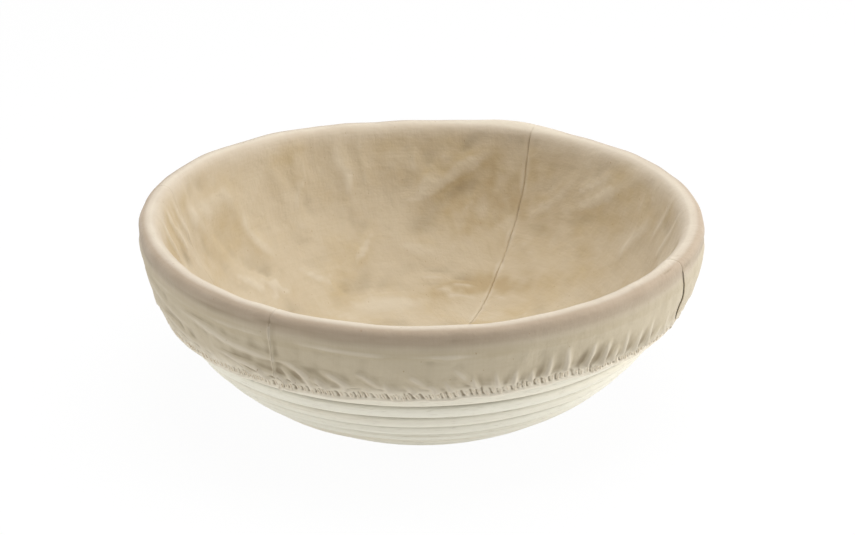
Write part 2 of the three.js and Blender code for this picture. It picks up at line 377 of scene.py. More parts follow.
class Bench:
    """A node tree, with short ways to add its nodes."""

    def __init__(self, tree: Tree) -> None:
        """Takes the tree that the nodes go into."""
        self.tree = tree

    def add(self, kind: str, **settings: object) -> Node:
        """Adds a node and sets its own settings."""
        node = self.tree.nodes.new(kind)
        for key, value in settings.items():
            setattr(node, key, value)
        return node

    def feed(self, socket: Socket, value: object) -> None:
        """Links another socket into this one, or sets its value."""
        if isinstance(value, Socket):
            self.tree.links.new(value, socket)
        else:
            socket.default_value = value

    def math(self, operation: str, a: object, b: object = 0.0) -> Socket:
        """Adds a Math node and gives its result."""
        node = self.add("ShaderNodeMath", operation=operation)
        self.feed(node.inputs[0], a)
        self.feed(node.inputs[1], b)
        return node.outputs[0]

    def stretch(self, vector: object, by: tuple[float, float, float]) -> Socket:
        """Multiplies a vector's parts."""
        node = self.add("ShaderNodeVectorMath", operation="MULTIPLY")
        self.feed(node.inputs[0], vector)
        node.inputs[1].default_value = by
        return node.outputs[0]

    def noise(self, vector: object, scale: float, detail: float = 2.0, roughness: float = 0.5) -> Socket:
        """Adds a noise and gives its value."""
        node = self.add("ShaderNodeTexNoise", noise_dimensions="3D")
        self.feed(node.inputs["Vector"], vector)
        node.inputs["Scale"].default_value = scale
        node.inputs["Detail"].default_value = detail
        node.inputs["Roughness"].default_value = roughness
        return node.outputs[0]

    def band(self, value: object, low: float, high: float, start: float = 0.0, end: float = 1.0) -> Socket:
        """Maps a range of values smoothly onto another."""
        node = self.add("ShaderNodeMapRange", interpolation_type="SMOOTHSTEP")
        self.feed(node.inputs[0], value)
        for socket, number in zip(node.inputs[1:5], (low, high, start, end)):
            socket.default_value = number
        return node.outputs[0]

    def mix(self, amount: object, a: object, b: object, blend: str = "MIX") -> Socket:
        """Mixes two colours."""
        node = self.add("ShaderNodeMix", data_type="RGBA", blend_type=blend)
        self.feed(node.inputs["Factor"], amount)
        self.feed(node.inputs[6], (*a, 1.0) if isinstance(a, tuple) else a)
        self.feed(node.inputs[7], (*b, 1.0) if isinstance(b, tuple) else b)
        return node.outputs[2]


def new_group(
    name: str, inputs: dict[str, tuple[str, object]], outputs: dict[str, str]
) -> tuple[Tree, Bench]:
    """Starts a shader node group.

    Args:
        name: The group's name.
        inputs: Socket type and first value by socket name.
        outputs: Socket type by socket name.

    Returns:
        The group, and a bench for its nodes.
    """
    tree = bpy.data.node_groups.new(name, "ShaderNodeTree")
    for key, (kind, value) in inputs.items():
        socket = tree.interface.new_socket(key, in_out="INPUT", socket_type=kind)
        if value is not None:
            socket.default_value = value
    for key, kind in outputs.items():
        tree.interface.new_socket(key, in_out="OUTPUT", socket_type=kind)
    return tree, Bench(tree)


class SurfaceEffects:
    """The effects that more than one finish uses, each built once."""

    @cached_property
    def weave(self) -> Tree:
        """Plain weave with uneven yarn, on coordinates in metres."""
        tree, bench = new_group(
            "plain_weave",
            {
                "Place": ("NodeSocketVector", None),
                "Yarn": ("NodeSocketFloat", 0.0005),
                "Wander": ("NodeSocketFloat", 0.00015),
            },
            {"Height": "NodeSocketFloat", "Slub": "NodeSocketFloat"},
        )
        start, end = bench.add("NodeGroupInput"), bench.add("NodeGroupOutput")
        place = start.outputs["Place"]
        parts = bench.add("ShaderNodeSeparateXYZ")
        bench.feed(parts.inputs[0], place)
        drift = bench.add("ShaderNodeTexNoise", noise_dimensions="3D")
        bench.feed(drift.inputs["Vector"], place)
        drift.inputs["Scale"].default_value = 160.0
        drift.inputs["Detail"].default_value = 1.0
        sway = bench.add("ShaderNodeSeparateColor")
        bench.feed(sway.inputs[0], drift.outputs["Color"])
        waves = []
        for part, shift in zip(parts.outputs[:2], sway.outputs[:2]):
            stray = bench.math("MULTIPLY", bench.math("SUBTRACT", shift, 0.5), start.outputs["Wander"])
            moved = bench.math("ADD", part, stray)
            turns = bench.math("DIVIDE", bench.math("MULTIPLY", moved, math.pi), start.outputs["Yarn"])
            waves.append(bench.math("SINE", turns))
        cross = bench.math("ABSOLUTE", bench.math("MULTIPLY", *waves))
        bench.feed(end.inputs["Height"], bench.math("POWER", cross, 0.6))
        weft = bench.noise(bench.stretch(place, (24.0, 900.0, 1.0)), 1.0, 2.0)
        warp = bench.noise(bench.stretch(place, (900.0, 24.0, 1.0)), 1.0, 2.0)
        bench.feed(end.inputs["Slub"], bench.math("MULTIPLY", bench.math("ADD", weft, warp), 0.5))
        return tree

    @cached_property
    def fibre(self) -> Tree:
        """Long fine streaks that follow the first coordinate, in metres."""
        tree, bench = new_group(
            "long_fibre",
            {"Place": ("NodeSocketVector", None)},
            {"Streak": "NodeSocketFloat", "Vessel": "NodeSocketFloat", "Tone": "NodeSocketFloat"},
        )
        start, end = bench.add("NodeGroupInput"), bench.add("NodeGroupOutput")
        place = start.outputs["Place"]
        fine = bench.noise(bench.stretch(place, (26.0, 2600.0, 1.0)), 1.0, 3.0, 0.6)
        broad = bench.noise(bench.stretch(place, (9.0, 700.0, 1.0)), 1.0, 2.0)
        streak = bench.math("ADD", bench.math("MULTIPLY", fine, 0.6), bench.math("MULTIPLY", broad, 0.4))
        bench.feed(end.inputs["Streak"], streak)
        pores = bench.noise(bench.stretch(place, (170.0, 5200.0, 1.0)), 1.0, 1.0)
        bench.feed(end.inputs["Vessel"], bench.band(pores, 0.66, 0.76))
        bench.feed(end.inputs["Tone"], bench.noise(bench.stretch(place, (3.0, 30.0, 1.0)), 1.0, 2.0))
        return tree


@dataclass(frozen=True)
class Finish:
    """What every finish has: a name, and a Principled shader to dress."""

    name: str
    roughness: float = 0.8

    def start(self) -> tuple[Material, Bench, Node]:
        """Starts the material.

        Returns:
            The material, a bench for its nodes, and its shader.
        """
        material = bpy.data.materials.new(self.name)
        material.use_nodes = True
        bench = Bench(material.node_tree)
        return material, bench, material.node_tree.nodes["Principled BSDF"]

    def place(self, bench: Bench, uv: str | None) -> Socket:
        """The coordinates of a pattern: a UV map by name, or the object's own."""
        if uv:
            return bench.add("ShaderNodeUVMap", uv_map=uv).outputs[0]
        return bench.add("ShaderNodeTexCoord").outputs["Object"]

    def group(self, bench: Bench, tree: Tree, **values: object) -> Node:
        """Places a shared effect with its own values."""
        node = bench.add("ShaderNodeGroup", node_tree=tree)
        for key, value in values.items():
            bench.feed(node.inputs[key], value)
        return node

    def vary_roughness(self, bench: Bench, shader: Node, by: Socket, ends: tuple[float, float]) -> None:
        """Lets the roughness follow a value.

        Args:
            bench: The material's nodes.
            shader: The shader.
            by: The value, which mostly lies between 0.3 and 0.7.
            ends: What is added to the roughness at those two.
        """
        low, high = (self.roughness + change for change in ends)
        bench.feed(shader.inputs["Roughness"], bench.band(by, 0.3, 0.7, low, high))

    def raise_surface(self, bench: Bench, shader: Node, layers: list[tuple[object, float]]) -> None:
        """Chains bumps into the shader's normal.

        Args:
            bench: The material's nodes.
            shader: The shader.
            layers: Height sockets with the height of 1 in metres, coarse first.
        """
        normal = None
        for height, distance in layers:
            bump = bench.add("ShaderNodeBump")
            bump.inputs["Strength"].default_value = 1.0
            bump.inputs["Distance"].default_value = distance
            bench.feed(bump.inputs["Height"], height)
            if normal:
                bench.feed(bump.inputs["Normal"], normal)
            normal = bump.outputs[0]
        bench.feed(shader.inputs["Normal"], normal)


@dataclass(frozen=True)
class RattanFinish(Finish):
    """Peeled rattan core: pale, satin, with fibres along it."""

    name: str = "peeled_rattan"
    roughness: float = 0.62
    pale: Colour = (0.87, 0.84, 0.72)
    streak: Colour = (0.71, 0.655, 0.52)
    vessel: Colour = (0.50, 0.42, 0.29)
    warm: Colour = (0.82, 0.75, 0.60)
    # painted shade in the creases between the turns
    shade: Colour = (0.27, 0.235, 0.16)
    half_girth: float = 0.01296

    def build(self, effects: SurfaceEffects) -> Material:
        """Builds the material on the UV map that runs along the cane."""
        material, bench, shader = self.start()
        fibre = self.group(bench, effects.fibre, Place=self.place(bench, "along"))
        colour = bench.mix(bench.band(fibre.outputs["Tone"], 0.42, 0.66), self.pale, self.warm)
        colour = bench.mix(bench.band(fibre.outputs["Streak"], 0.50, 0.72, 0.0, 0.75), colour, self.streak)
        colour = bench.mix(bench.math("MULTIPLY", fibre.outputs["Vessel"], 0.55), colour, self.vessel)
        # painted shade where the turns touch
        colour = bench.mix(self.painted_shade_between_turns(bench), colour, self.shade)
        bench.feed(shader.inputs["Base Color"], colour)
        self.vary_roughness(bench, shader, fibre.outputs["Streak"], (-0.08, 0.12))
        shader.inputs["Specular IOR Level"].default_value = 0.4
        pits = bench.math("MULTIPLY", fibre.outputs["Vessel"], -1.0)
        self.raise_surface(bench, shader, [(fibre.outputs["Streak"], 0.00035), (pits, 0.00008)])
        return material

    def painted_shade_between_turns(self, bench: Bench) -> Socket:
        """Masks the two sides where turns touch, where shade is painted into the creases between turns, from
        the map's second coordinate.
        """
        parts = bench.add("ShaderNodeSeparateXYZ")
        bench.feed(parts.inputs[0], self.place(bench, "along"))
        around = parts.outputs[1]
        near = bench.math("MINIMUM", around, bench.math("SUBTRACT", self.half_girth, around))
        uneven = bench.noise(bench.stretch(self.place(bench, "along"), (22.0, 0.0, 1.0)), 1.0, 2.0)
        shade = bench.band(near, 0.0006, 0.0036, 0.95, 0.0)
        return bench.math("MULTIPLY", shade, bench.band(uneven, 0.3, 0.65, 0.55, 1.0))


@dataclass(frozen=True)
class CalicoFinish(Finish):
    """Undyed cotton: plain weave, uneven yarn and flecks of husk."""

    name: str = "undyed_cotton"
    roughness: float = 0.92
    yarn: float = 0.00042
    pale: Colour = (0.56, 0.485, 0.39)
    deep: Colour = (0.51, 0.43, 0.33)
    husk: Colour = (0.33, 0.22, 0.12)
    # painted shade in the gaps between the yarns
    weave_gap_shade: Colour = (0.42, 0.33, 0.22)
    # painted shade in the hollows between folds
    hollow: Colour = (0.26, 0.205, 0.13)
    # painted highlight on the crests of folds and along the rim's top
    crest: Colour = (0.66, 0.59, 0.475)
    bowl_tint: Colour = (0.985, 0.955, 0.85)
    warm_stain: Colour = (0.89, 0.82, 0.65)
    mark_tint: Colour = (0.80, 0.735, 0.61)
    skirt_tint: Colour = (0.925, 0.915, 0.805)
    # painted shade on the lip's outer face, below the top of the rim
    lip_face_shade_tint: Colour = (0.765, 0.71, 0.665)
    hem_tone: Colour = (0.88, 0.82, 0.69)

    def build(self, effects: SurfaceEffects) -> Material:
        """Builds the material on the UV map of the flat cut and the map of its relief."""
        material, bench, shader = self.start()
        place = self.place(bench, "cut")
        weave = self.group(bench, effects.weave, Place=place, Yarn=self.yarn, Wander=0.00022)
        slub, height = weave.outputs["Slub"], weave.outputs["Height"]
        colour = bench.mix(bench.band(slub, 0.40, 0.66, 0.0, 0.3), self.pale, self.deep)
        mottle = bench.noise(place, 42.0, 5.0, 0.62)
        colour = bench.mix(bench.band(mottle, 0.35, 0.75, 0.0, 0.6), colour, self.deep)
        # painted shade where the weave is low, between the yarns
        colour = bench.mix(bench.band(height, 0.0, 0.45, 0.08, 0.0), colour, self.weave_gap_shade)
        relief = bench.add("ShaderNodeSeparateXYZ")
        bench.feed(relief.inputs[0], self.place(bench, "relief"))
        colour = self.tinted(bench, place, relief.outputs[1], colour)
        # painted shade in the hollows between folds, from the relief map
        colour = bench.mix(bench.band(relief.outputs[0], 0.53, 0.95, 0.0, 0.75), colour, self.hollow)
        # painted highlight on fold crests and along the rim's top
        colour = bench.mix(bench.band(relief.outputs[0], 0.47, 0.1, 0.0, 0.6), colour, self.crest)
        for scale, size, share in ((70.0, 0.012, 0.72), (160.0, 0.020, 0.78)):
            spots = bench.math("MULTIPLY", self.flecks(bench, place, scale, size, share), 0.6)
            colour = bench.mix(spots, colour, self.husk)
        bench.feed(shader.inputs["Base Color"], colour)
        self.vary_roughness(bench, shader, slub, (0.0, -0.08))
        shader.inputs["Specular IOR Level"].default_value = 0.2
        shader.inputs["Sheen Weight"].default_value = 0.18
        shader.inputs["Sheen Roughness"].default_value = 0.5
        crumple = bench.noise(place, 210.0, 3.0, 0.55)
        self.raise_surface(bench, shader, [(crumple, 0.00042), (slub, 0.0001), (height, 0.00003)])
        return material

    def tinted(self, bench: Bench, place: Socket, zone: Socket, colour: Socket) -> Socket:
        """Tints the stretches of the cloth, and paints shade on the lip's outer face.

        Args:
            bench: The material's nodes.
            place: The coordinates on the flat cut.
            zone: 1 inside the bowl and more on a mark, 0 on the rim, -1 at the hem's edge.
            colour: The cloth's own colour.

        Returns:
            The tinted colour.
        """
        stain = bench.band(bench.noise(place, 19.0, 4.0, 0.6), 0.44, 0.70, 0.0, 0.75)
        stain = bench.math("MULTIPLY", stain, bench.band(zone, 0.1, 0.9))
        # painted shade on the lip's outer face
        lip_face_shade = bench.math("MULTIPLY", bench.band(zone, -0.003, -0.065), bench.band(zone, -0.34, -0.12))
        tints = (
            (bench.band(zone, 0.0, 1.0), self.bowl_tint),
            (stain, self.warm_stain),
            (bench.band(zone, 1.0, 2.0), self.mark_tint),
            (bench.band(zone, 0.0, -0.5), self.skirt_tint),
            (lip_face_shade, self.lip_face_shade_tint),
        )
        for amount, tint in tints:
            colour = bench.mix(amount, colour, tint, "MULTIPLY")
        return bench.mix(bench.band(zone, -0.5, -1.0, 0.0, 0.8), colour, self.hem_tone)

    def flecks(self, bench: Bench, place: object, scale: float, size: float, share: float) -> Socket:
        """Scatters small flecks.

        Args:
            bench: The material's nodes.
            place: The coordinates.
            scale: Cells in a metre.
            size: A fleck's half width, as a share of a cell.
            share: How many cells are left bare.

        Returns:
            A mask that is 1 on a fleck.
        """
        cells = bench.add("ShaderNodeTexVoronoi", voronoi_dimensions="2D", feature="F1")
        bench.feed(cells.inputs["Vector"], bench.stretch(place, (1.0, 0.55, 1.0)))
        cells.inputs["Scale"].default_value = scale
        spot = bench.band(cells.outputs["Distance"], size, size * 1.7, 1.0, 0.0)
        pick = bench.add("ShaderNodeSeparateColor")
        bench.feed(pick.inputs[0], cells.outputs["Color"])
        return bench.math("MULTIPLY", spot, bench.math("GREATER_THAN", pick.outputs[0], share))


@dataclass(frozen=True)
class ThreadFinish(Finish):
    """Spun sewing thread with its twist."""

    name: str = "sewing_thread"
    roughness: float = 0.8
    pale: Colour = (0.80, 0.72, 0.58)
    deep: Colour = (0.66, 0.57, 0.44)

    def build(self, effects: SurfaceEffects) -> Material:
        """Builds the material on the object's own coordinates."""
        material, bench, shader = self.start()
        fibre = self.group(bench, effects.fibre, Place=self.place(bench, None))
        twist = bench.noise(self.place(bench, None), 1900.0, 2.0)
        colour = bench.mix(bench.band(twist, 0.35, 0.65), self.pale, self.deep)
        bench.feed(shader.inputs["Base Color"], colour)
        self.vary_roughness(bench, shader, fibre.outputs["Tone"], (-0.05, 0.1))
        shader.inputs["Sheen Weight"].default_value = 0.15
        self.raise_surface(bench, shader, [(twist, 0.00012)])
        return material


@dataclass(frozen=True)
class ElasticFinish(Finish):
    """Covered rubber tape: a tight weave with ribs along it."""

    name: str = "covered_elastic"
    roughness: float = 0.85
    pale: Colour = (0.86, 0.84, 0.79)
    deep: Colour = (0.68, 0.66, 0.61)

    def build(self, effects: SurfaceEffects) -> Material:
        """Builds the material on the UV map that runs along the tape."""
        material, bench, shader = self.start()
        weave = self.group(bench, effects.weave, Place=self.place(bench, "along"), Yarn=0.0009, Wander=0.0001)
        height = weave.outputs["Height"]
        # painted shade where the weave is low, between the yarns
        colour = bench.mix(bench.band(height, 0.1, 0.8), self.deep, self.pale)
        bench.feed(shader.inputs["Base Color"], colour)
        self.vary_roughness(bench, shader, weave.outputs["Slub"], (-0.1, 0.1))
        self.raise_surface(bench, shader, [(height, 0.0002)])
        return material


@dataclass(frozen=True)
class BradFinish(Finish):
    """Bright drawn wire with fine scratches and a little dulling."""

    name: str = "drawn_wire"
    roughness: float = 0.38
    bright: Colour = (0.62, 0.63, 0.64)
    dull: Colour = (0.40, 0.37, 0.34)

    def build(self, effects: SurfaceEffects) -> Material:
        """Builds the material on the object's own coordinates."""
        material, bench, shader = self.start()
        place = self.place(bench, None)
        dulling = bench.noise(place, 380.0, 3.0)
        scratch = bench.noise(bench.stretch(place, (4000.0, 4000.0, 300.0)), 1.0, 2.0)
        colour = bench.mix(bench.band(dulling, 0.45, 0.75), self.bright, self.dull)
        bench.feed(shader.inputs["Base Color"], colour)
        self.vary_roughness(bench, shader, scratch, (-0.1, 0.15))
        shader.inputs["Metallic"].default_value = 1.0
        self.raise_surface(bench, shader, [(scratch, 0.00003)])
        return material


# Basket


@dataclass
class CaneBasket:
    """The three lengths of cane, wound and joined as in the solids but round and smooth."""

    form: BowlForm
    finish: RattanFinish = field(default_factory=RattanFinish)
    brads: BradFinish = field(default_factory=BradFinish)
    rings_per_turn: int = 96
    sides: int = 18
    squareness: float = 2.15
    crease: float = 0.3
    wall_unevenness: float = 0.42
    swelling: float = 0.05
    scarf_ease: float = 11.0
    edge_degrees: float = 50.0
    uv_spacing: float = 500.0
    noise: SoftNoise = SoftNoise(11)

    def build(self, effects: SurfaceEffects) -> list[Piece]:
        """Makes the lengths and dresses them and the brads.

        Returns:
            The three pieces, from the base up.
        """
        form = self.form
        upper_joint = form.step_length((form.base_radius + form.rim_length) / 2)
        bounds = [form.start_length, form.step_length(form.base_radius), upper_joint, form.end_length]
        material = self.finish.build(effects)
        pieces = []
        for node, first, last in zip(("base_cane", "lower_wall_cane", "upper_wall_cane"), bounds, bounds[1:]):
            piece = self.wind(f"{node}_wound", first, last, (first > bounds[0], last < bounds[-1]))
            piece.data.materials.append(material)
            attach(piece, Body.BASKET.value)
            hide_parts(node)
            pieces.append(piece)
            LOG.info("%s: %d faces", piece.name, len(piece.data.polygons))
        wire = self.brads.build(effects)
        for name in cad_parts:
            if name.startswith("brad_"):
                self.dress_brad(name, wire)
        return pieces

    def dress_brad(self, name: str, wire: Material) -> None:
        """Gives a brad its drawn wire."""
        brad = bpy.data.objects[name]
        brad.data.materials.clear()
        brad.data.materials.append(wire)

    def section(self, length: Array) -> tuple[Array, Array]:
        """The cane's section at each ring.

        Args:
            length: Lengths along the bowl's curve.

        Returns:
            Places along the wall and out of it, for each ring and side.
        """
        form = self.form
        angle = np.linspace(0, 2 * math.pi, self.sides, endpoint=False)[None]
        power = 2 / self.squareness
        across = np.sign(np.cos(angle)) * np.abs(np.cos(angle)) ** power
        out = np.sign(np.sin(angle)) * np.abs(np.sin(angle)) ** power
        pared = np.maximum(0, length - form.rim_length)[:, None]
        half = (form.pitch - self.crease) / 2 - pared / 2
        depth = form.slim_depth(length)[:, None] / 2 * (1 - pared / (2 * form.cane_width))
        return half * across - pared / 2, depth * out

    def wind(self, name: str, first: float, last: float, joined: tuple[bool, bool]) -> Piece:
        """Winds one length of cane.

        Args:
            name: The piece's name.
            first: Where it starts along the bowl's curve.
            last: Where it ends.
            joined: Whether it meets another length at its start, and at its end.

        Returns:
            The piece, with a UV map along the cane.
        """
        form = self.form
        rings = math.ceil((last - first) / form.pitch * self.rings_per_turn) + 1
        length = np.linspace(first, last, rings)
        u, v = self.section(length)
        radius = np.maximum(form.wall(length, 0.0)[0], 1.0)
        per_mm = form.pitch / (2 * math.pi * radius)[:, None]
        slant = v / (form.cane_depth / 2) * form.scarf_length / 2
        run = np.concatenate([[0], np.cumsum(np.diff(length) / per_mm[1:, 0])])[:, None]
        near_end = unit(1 - (run[-1] - run) / self.scarf_ease) if joined[1] else 0 * run
        near_start = unit(1 - run / self.scarf_ease) if joined[0] else 0 * run
        shift = near_end * (slant - form.scarf_gap / 2) + near_start * (slant + form.scarf_gap / 2)
        place = length[:, None] + shift * per_mm
        angle = form.turn_angle(place)
        swell = self.noise.around(angle, 3.1, place / 7.0)
        wander = self.noise.at(np.cos(angle) * 1.3 + 9, np.sin(angle) * 1.3, place / 5.0)
        out = v * (1 + self.swelling * swell) + self.wall_unevenness * wander
        r, z = self.beside(place, u, out)
        z = np.maximum(z, 0) + form.rim_lift(angle, place)
        points = np.stack([r * np.cos(angle), r * np.sin(angle), z], -1).reshape(-1, 3)
        faces = strip_faces(rings, self.sides, closed=True)[:, ::-1]
        piece = new_piece(name, points, faces)
        perimeter = math.pi * (form.cane_width + form.cane_depth) / 2
        around = np.abs(np.linspace(-1, 1, self.sides, endpoint=False))[None] * perimeter / 2
        uv = np.stack(np.broadcast_arrays(run + self.uv_spacing * first, around), -1).reshape(-1, 2) * MM
        set_uv(piece, "along", uv)
        self.close_ends(piece)
        return piece

    def beside(self, place: Array, u: Array, out: Array) -> tuple[Array, Array]:
        """Points of a section that stands square to the bowl's curve at its middle.

        Args:
            place: Lengths along the curve at the section's middle.
            u: Distances along the wall from there.
            out: Distances out of the wall.

        Returns:
            Radii and heights.
        """
        r0, z0 = self.form.wall(place, 0.0)
        r1, z1 = self.form.wall(place, 1.0)
        out_r, out_z = r1 - r0, z1 - z0
        return r0 - u * out_z + out * out_r, z0 + u * out_r + out * out_z

    def close_ends(self, piece: Piece) -> None:
        """Fills the two open ends and turns all faces outwards."""
        with editing(piece):
            bpy.ops.mesh.select_mode(type="EDGE")
            bpy.ops.mesh.select_all(action="DESELECT")
            bpy.ops.mesh.select_non_manifold()
            bpy.ops.mesh.fill_holes(sides=0)
            bpy.ops.mesh.select_all(action="SELECT")
            bpy.ops.mesh.normals_make_consistent(inside=False)
        bpy.ops.object.shade_smooth_by_angle(angle=math.radians(self.edge_degrees))


# Liner


class Zone(IntEnum):
    """The stretches of the cloth, from the middle of the base to the raw edge inside the hem."""

    BOWL = 0
    RIM = 1
    SKIRT = 2
    FOLD = 3
    TURN_UP = 4


class Seam(IntEnum):
    """The liner's seams, in their order about the axis."""

    BACK = 0
    LEFT = 1
    FRONT_LEFT = 2
    RIGHT = 3


class Grain(IntEnum):
    """What the liner's own noises and random draws are for, as steps from its seed."""

    BROAD = 0
    FINE = 1
    UPRIGHT = 2
    RIM = 3
    SKIRT = 4
    HEM_EDGE = 5
    GATHERS = 6
    PLEATS = 7
    STITCHES = 8
    SWAY = 9
    SEAMS = 10
    MARKS = 11


@dataclass(frozen=True)
class Crease:
    """One fold of the cloth.

    Attributes:
        angle: Where its upper end lies, in degrees about the axis.
        low: Where it starts, in millimetres along the cloth.
        high: Where it ends.
        width: Its half width in millimetres.
        height: How far it stands out.
        lean: Degrees from its upper end to its lower one.
    """

    angle: float
    low: float
    high: float
    width: float
    height: float
    lean: float = 0.0


@dataclass(frozen=True)
class Stain:
    """One brown mark beside the back seam, in millimetres.

    Attributes:
        side: Its middle, to the left of the seam.
        radius: Its middle's radius.
        width: Half width round the bowl.
        height: Half height, along the radius.
        lean: How far its left end drops for each millimetre.
        depth: How dark it is.
    """

    side: float
    radius: float
    width: float
    height: float
    lean: float
    depth: float


@dataclass(frozen=True)
class Stretch:
    """A stretch of the hem that the elastic draws up more strongly.

    Attributes:
        angle: Its middle, in degrees about the axis.
        spread: Its half width, in degrees.
        strength: How strongly it is drawn up.
    """

    angle: float
    spread: float
    strength: float


@dataclass
class ClothLiner:
    """The liner's four gores, their hem, its stitches and the elastic in it.

    Lengths are millimetres. The cut's sizes are metres. Places about the axis are degrees.
    """

    form: BowlForm
    cloth: CalicoFinish = field(default_factory=CalicoFinish)
    thread: ThreadFinish = field(default_factory=ThreadFinish)
    tape: ElasticFinish = field(default_factory=ElasticFinish)
    seed: int = 23

    # Seams and marks
    seams: tuple[float, ...] = (62.4, 168.0, 241.0, 334.0)
    seam_depths: tuple[float, ...] = (1.0, 0.15, 0.6, 0.7)
    seam_draw: float = 0.8
    seam_width: float = 0.38
    seam_lean: float = 0.45
    base_twist: float = 3.2
    twist_end: float = 92.0
    twist_fade: float = 60.0
    stains: tuple[Stain, ...] = (
        Stain(side=6, radius=73, width=26, height=7.0, lean=0.22, depth=1.15),
        Stain(side=5, radius=103, width=46, height=16, lean=0.0, depth=0.66),
    )

    # How the cloth lies on the cane
    thickness: float = 0.45
    bowl_seat: float = 0.8
    deepest_fold: float = 0.35
    rim_stand: float = 1.1
    rim_sway: float = 0.45
    rim_fullness: float = 2.7
    recess_drop: float = 5.6
    recess_depth: float = 0.36
    rim_bridge: float = 9.0
    bridge_pull: float = 1.7
    bridge_overhang: float = 0.6
    bridge_swell: float = 0.6
    swell_drop: float = 17.0
    swell_reach: float = 13.0
    skirt_settling: float = 1.4

    # Heights and depths of its folds
    swell_height: float = 0.8
    ridge_height: float = 0.6
    crumple_height: float = 0.34
    upright_height: float = 0.6
    bend_height: float = 0.9
    ripple_height: float = 0.4
    bunch_height: float = 2.3
    sink_depth: float = 0.6
    pinch_depth: float = 0.45
    bulge_height: float = 1.5
    bead_height: float = 0.4
    waist_depth: float = 0.12

    # The hem, its stitches and its elastic
    hem_drops: tuple[tuple[float, float], ...] = (
        (0, 31.0), (45, 28.2), (100, 28.0), (150, 31.0), (185, 31.0), (221, 33.5),
        (249, 29.9), (280, 27.6), (299, 25.9), (323, 29.9), (340, 31.0),
    )
    hem_smoothing: float = 7.0
    hem_height: float = 6.6
    hem_outer: float = 5.9
    hem_inner: float = 4.35
    gather_stretches: tuple[Stretch, ...] = (
        Stretch(306, 21, 1.0),
        Stretch(245, 10, 0.55),
        Stretch(140, 30, 0.75),
        Stretch(50, 18, 0.5),
    )
    gather_foot: float = -1.5
    stitch_spacing: float = 2.8
    stitch_lean: float = 2.4
    stitch_feet: tuple[float, float] = (1.6, 3.0)
    stitch_shares: tuple[float, float] = (0.45, 1.0)
    thread_radius: float = 0.36
    tape_stand: float = 0.32
    tape_half: float = 0.08
    tape_foot: float = 1.5
    tape_margin: float = 0.6
    tape_girth: tuple[float, ...] = (0.0, 2.75, 5.5, 6.2, 8.9, 11.7)

    # Where the photograph shows what happens to the cloth
    bunched_rim: float = 67.0
    sunk_rim: float = 102.0
    pinched_rim: float = 328.5
    raised_recess: float = 244.0
    ridged_lip: float = 256.0
    taut_lip: float = 318.0
    skirt_bulge: float = 347.0
    tall_pleats: float = 308.0
    upright_gathers: float = 290.0
    stitch_turn: float = 128.0

    # The flat cut
    cut_width_per_degree: float = 0.00228
    cut_length: float = 0.215
    cut_area_per_degree: float = 0.000309

    # The mesh
    bowl_rows: int = 42
    bowl_packing: float = 1.06
    rim_rows: int = 16
    skirt_rows: int = 44
    skirt_packing: float = 1.6
    fold_rows: int = 6
    turn_up_rows: int = 4
    columns_per_degree: float = 4.1
    seam_columns: tuple[float, ...] = (0.03, 0.3, 0.6, 1.0, 1.5, 2.1)
    tape_columns: int = 240
    uv_spacing: float = 300.0

    def noise(self, grain: Grain) -> SoftNoise:
        """One of the liner's own noises."""
        return SoftNoise(self.seed + grain)

    @cached_property
    def rows(self) -> tuple[Array, Array]:
        """The cloth's rows, as zones and shares of each zone."""
        parts = {
            Zone.BOWL: 1 - (1 - np.linspace(0, 1, self.bowl_rows)) ** self.bowl_packing,
            Zone.RIM: np.linspace(0, 1, self.rim_rows)[1:-1],
            Zone.SKIRT: 1 - (1 - np.linspace(0, 1, self.skirt_rows)) ** self.skirt_packing,
            Zone.FOLD: np.linspace(0, 1, self.fold_rows)[1:-1],
            Zone.TURN_UP: np.linspace(0, 1, self.turn_up_rows),
        }
        zone = np.concatenate([np.full(len(share), kind) for kind, share in parts.items()])
        return zone, np.concatenate(list(parts.values()))

    @property
    def upright_rows(self) -> tuple[Array, Array]:
        """The rows' zones and shares, each as one upright column of a grid."""
        zone, share = self.rows
        return zone[:, None], share[:, None]

    def gore_angles(self, number: int) -> Array:
        """The columns of one gore, in radians, closer together beside its seams."""
        spread = self.gore_spread(number)
        seam = np.array(self.seam_columns) / (self.form.rim_radius * math.pi / 180)
        count = round(spread * self.columns_per_degree)
        inner = np.linspace(seam[-1], spread - seam[-1], count)[1:-1]
        offsets = np.concatenate([seam, inner, spread - seam[::-1]])
        return np.radians(self.seams[number] + offsets)

    def gore_spread(self, number: int) -> float:
        """Degrees from one gore's first seam to its second."""
        return (self.seams[(number + 1) % len(self.seams)] - self.seams[number]) % 360

    @cached_property
    def hem_line(self) -> tuple[Array, Array]:
        """How far below the rim the hem's edge lies, smoothed, at each degree."""
        degrees, drops = np.array(self.hem_drops).T
        every = np.arange(360.0)
        line = np.interp(every, degrees, drops, period=360)
        apart = np.minimum(every, 360 - every)
        weight = bell(apart, self.hem_smoothing)
        smooth = np.fft.irfft(np.fft.rfft(line) * np.fft.rfft(weight / weight.sum()), 360)
        return every, smooth

    def hem_edge(self, angle: Array) -> Array:
        """Length along the bowl's curve at the hem's lower edge."""
        drop = np.interp(np.degrees(angle), *self.hem_line, period=360)
        return self.form.rim_length - drop + 0.5 * self.noise(Grain.HEM_EDGE).around(angle, 9, 0)

    @property
    def hem_rounding(self) -> float:
        """Half the space between the hem's two layers."""
        return (self.hem_outer - self.hem_inner) / 2

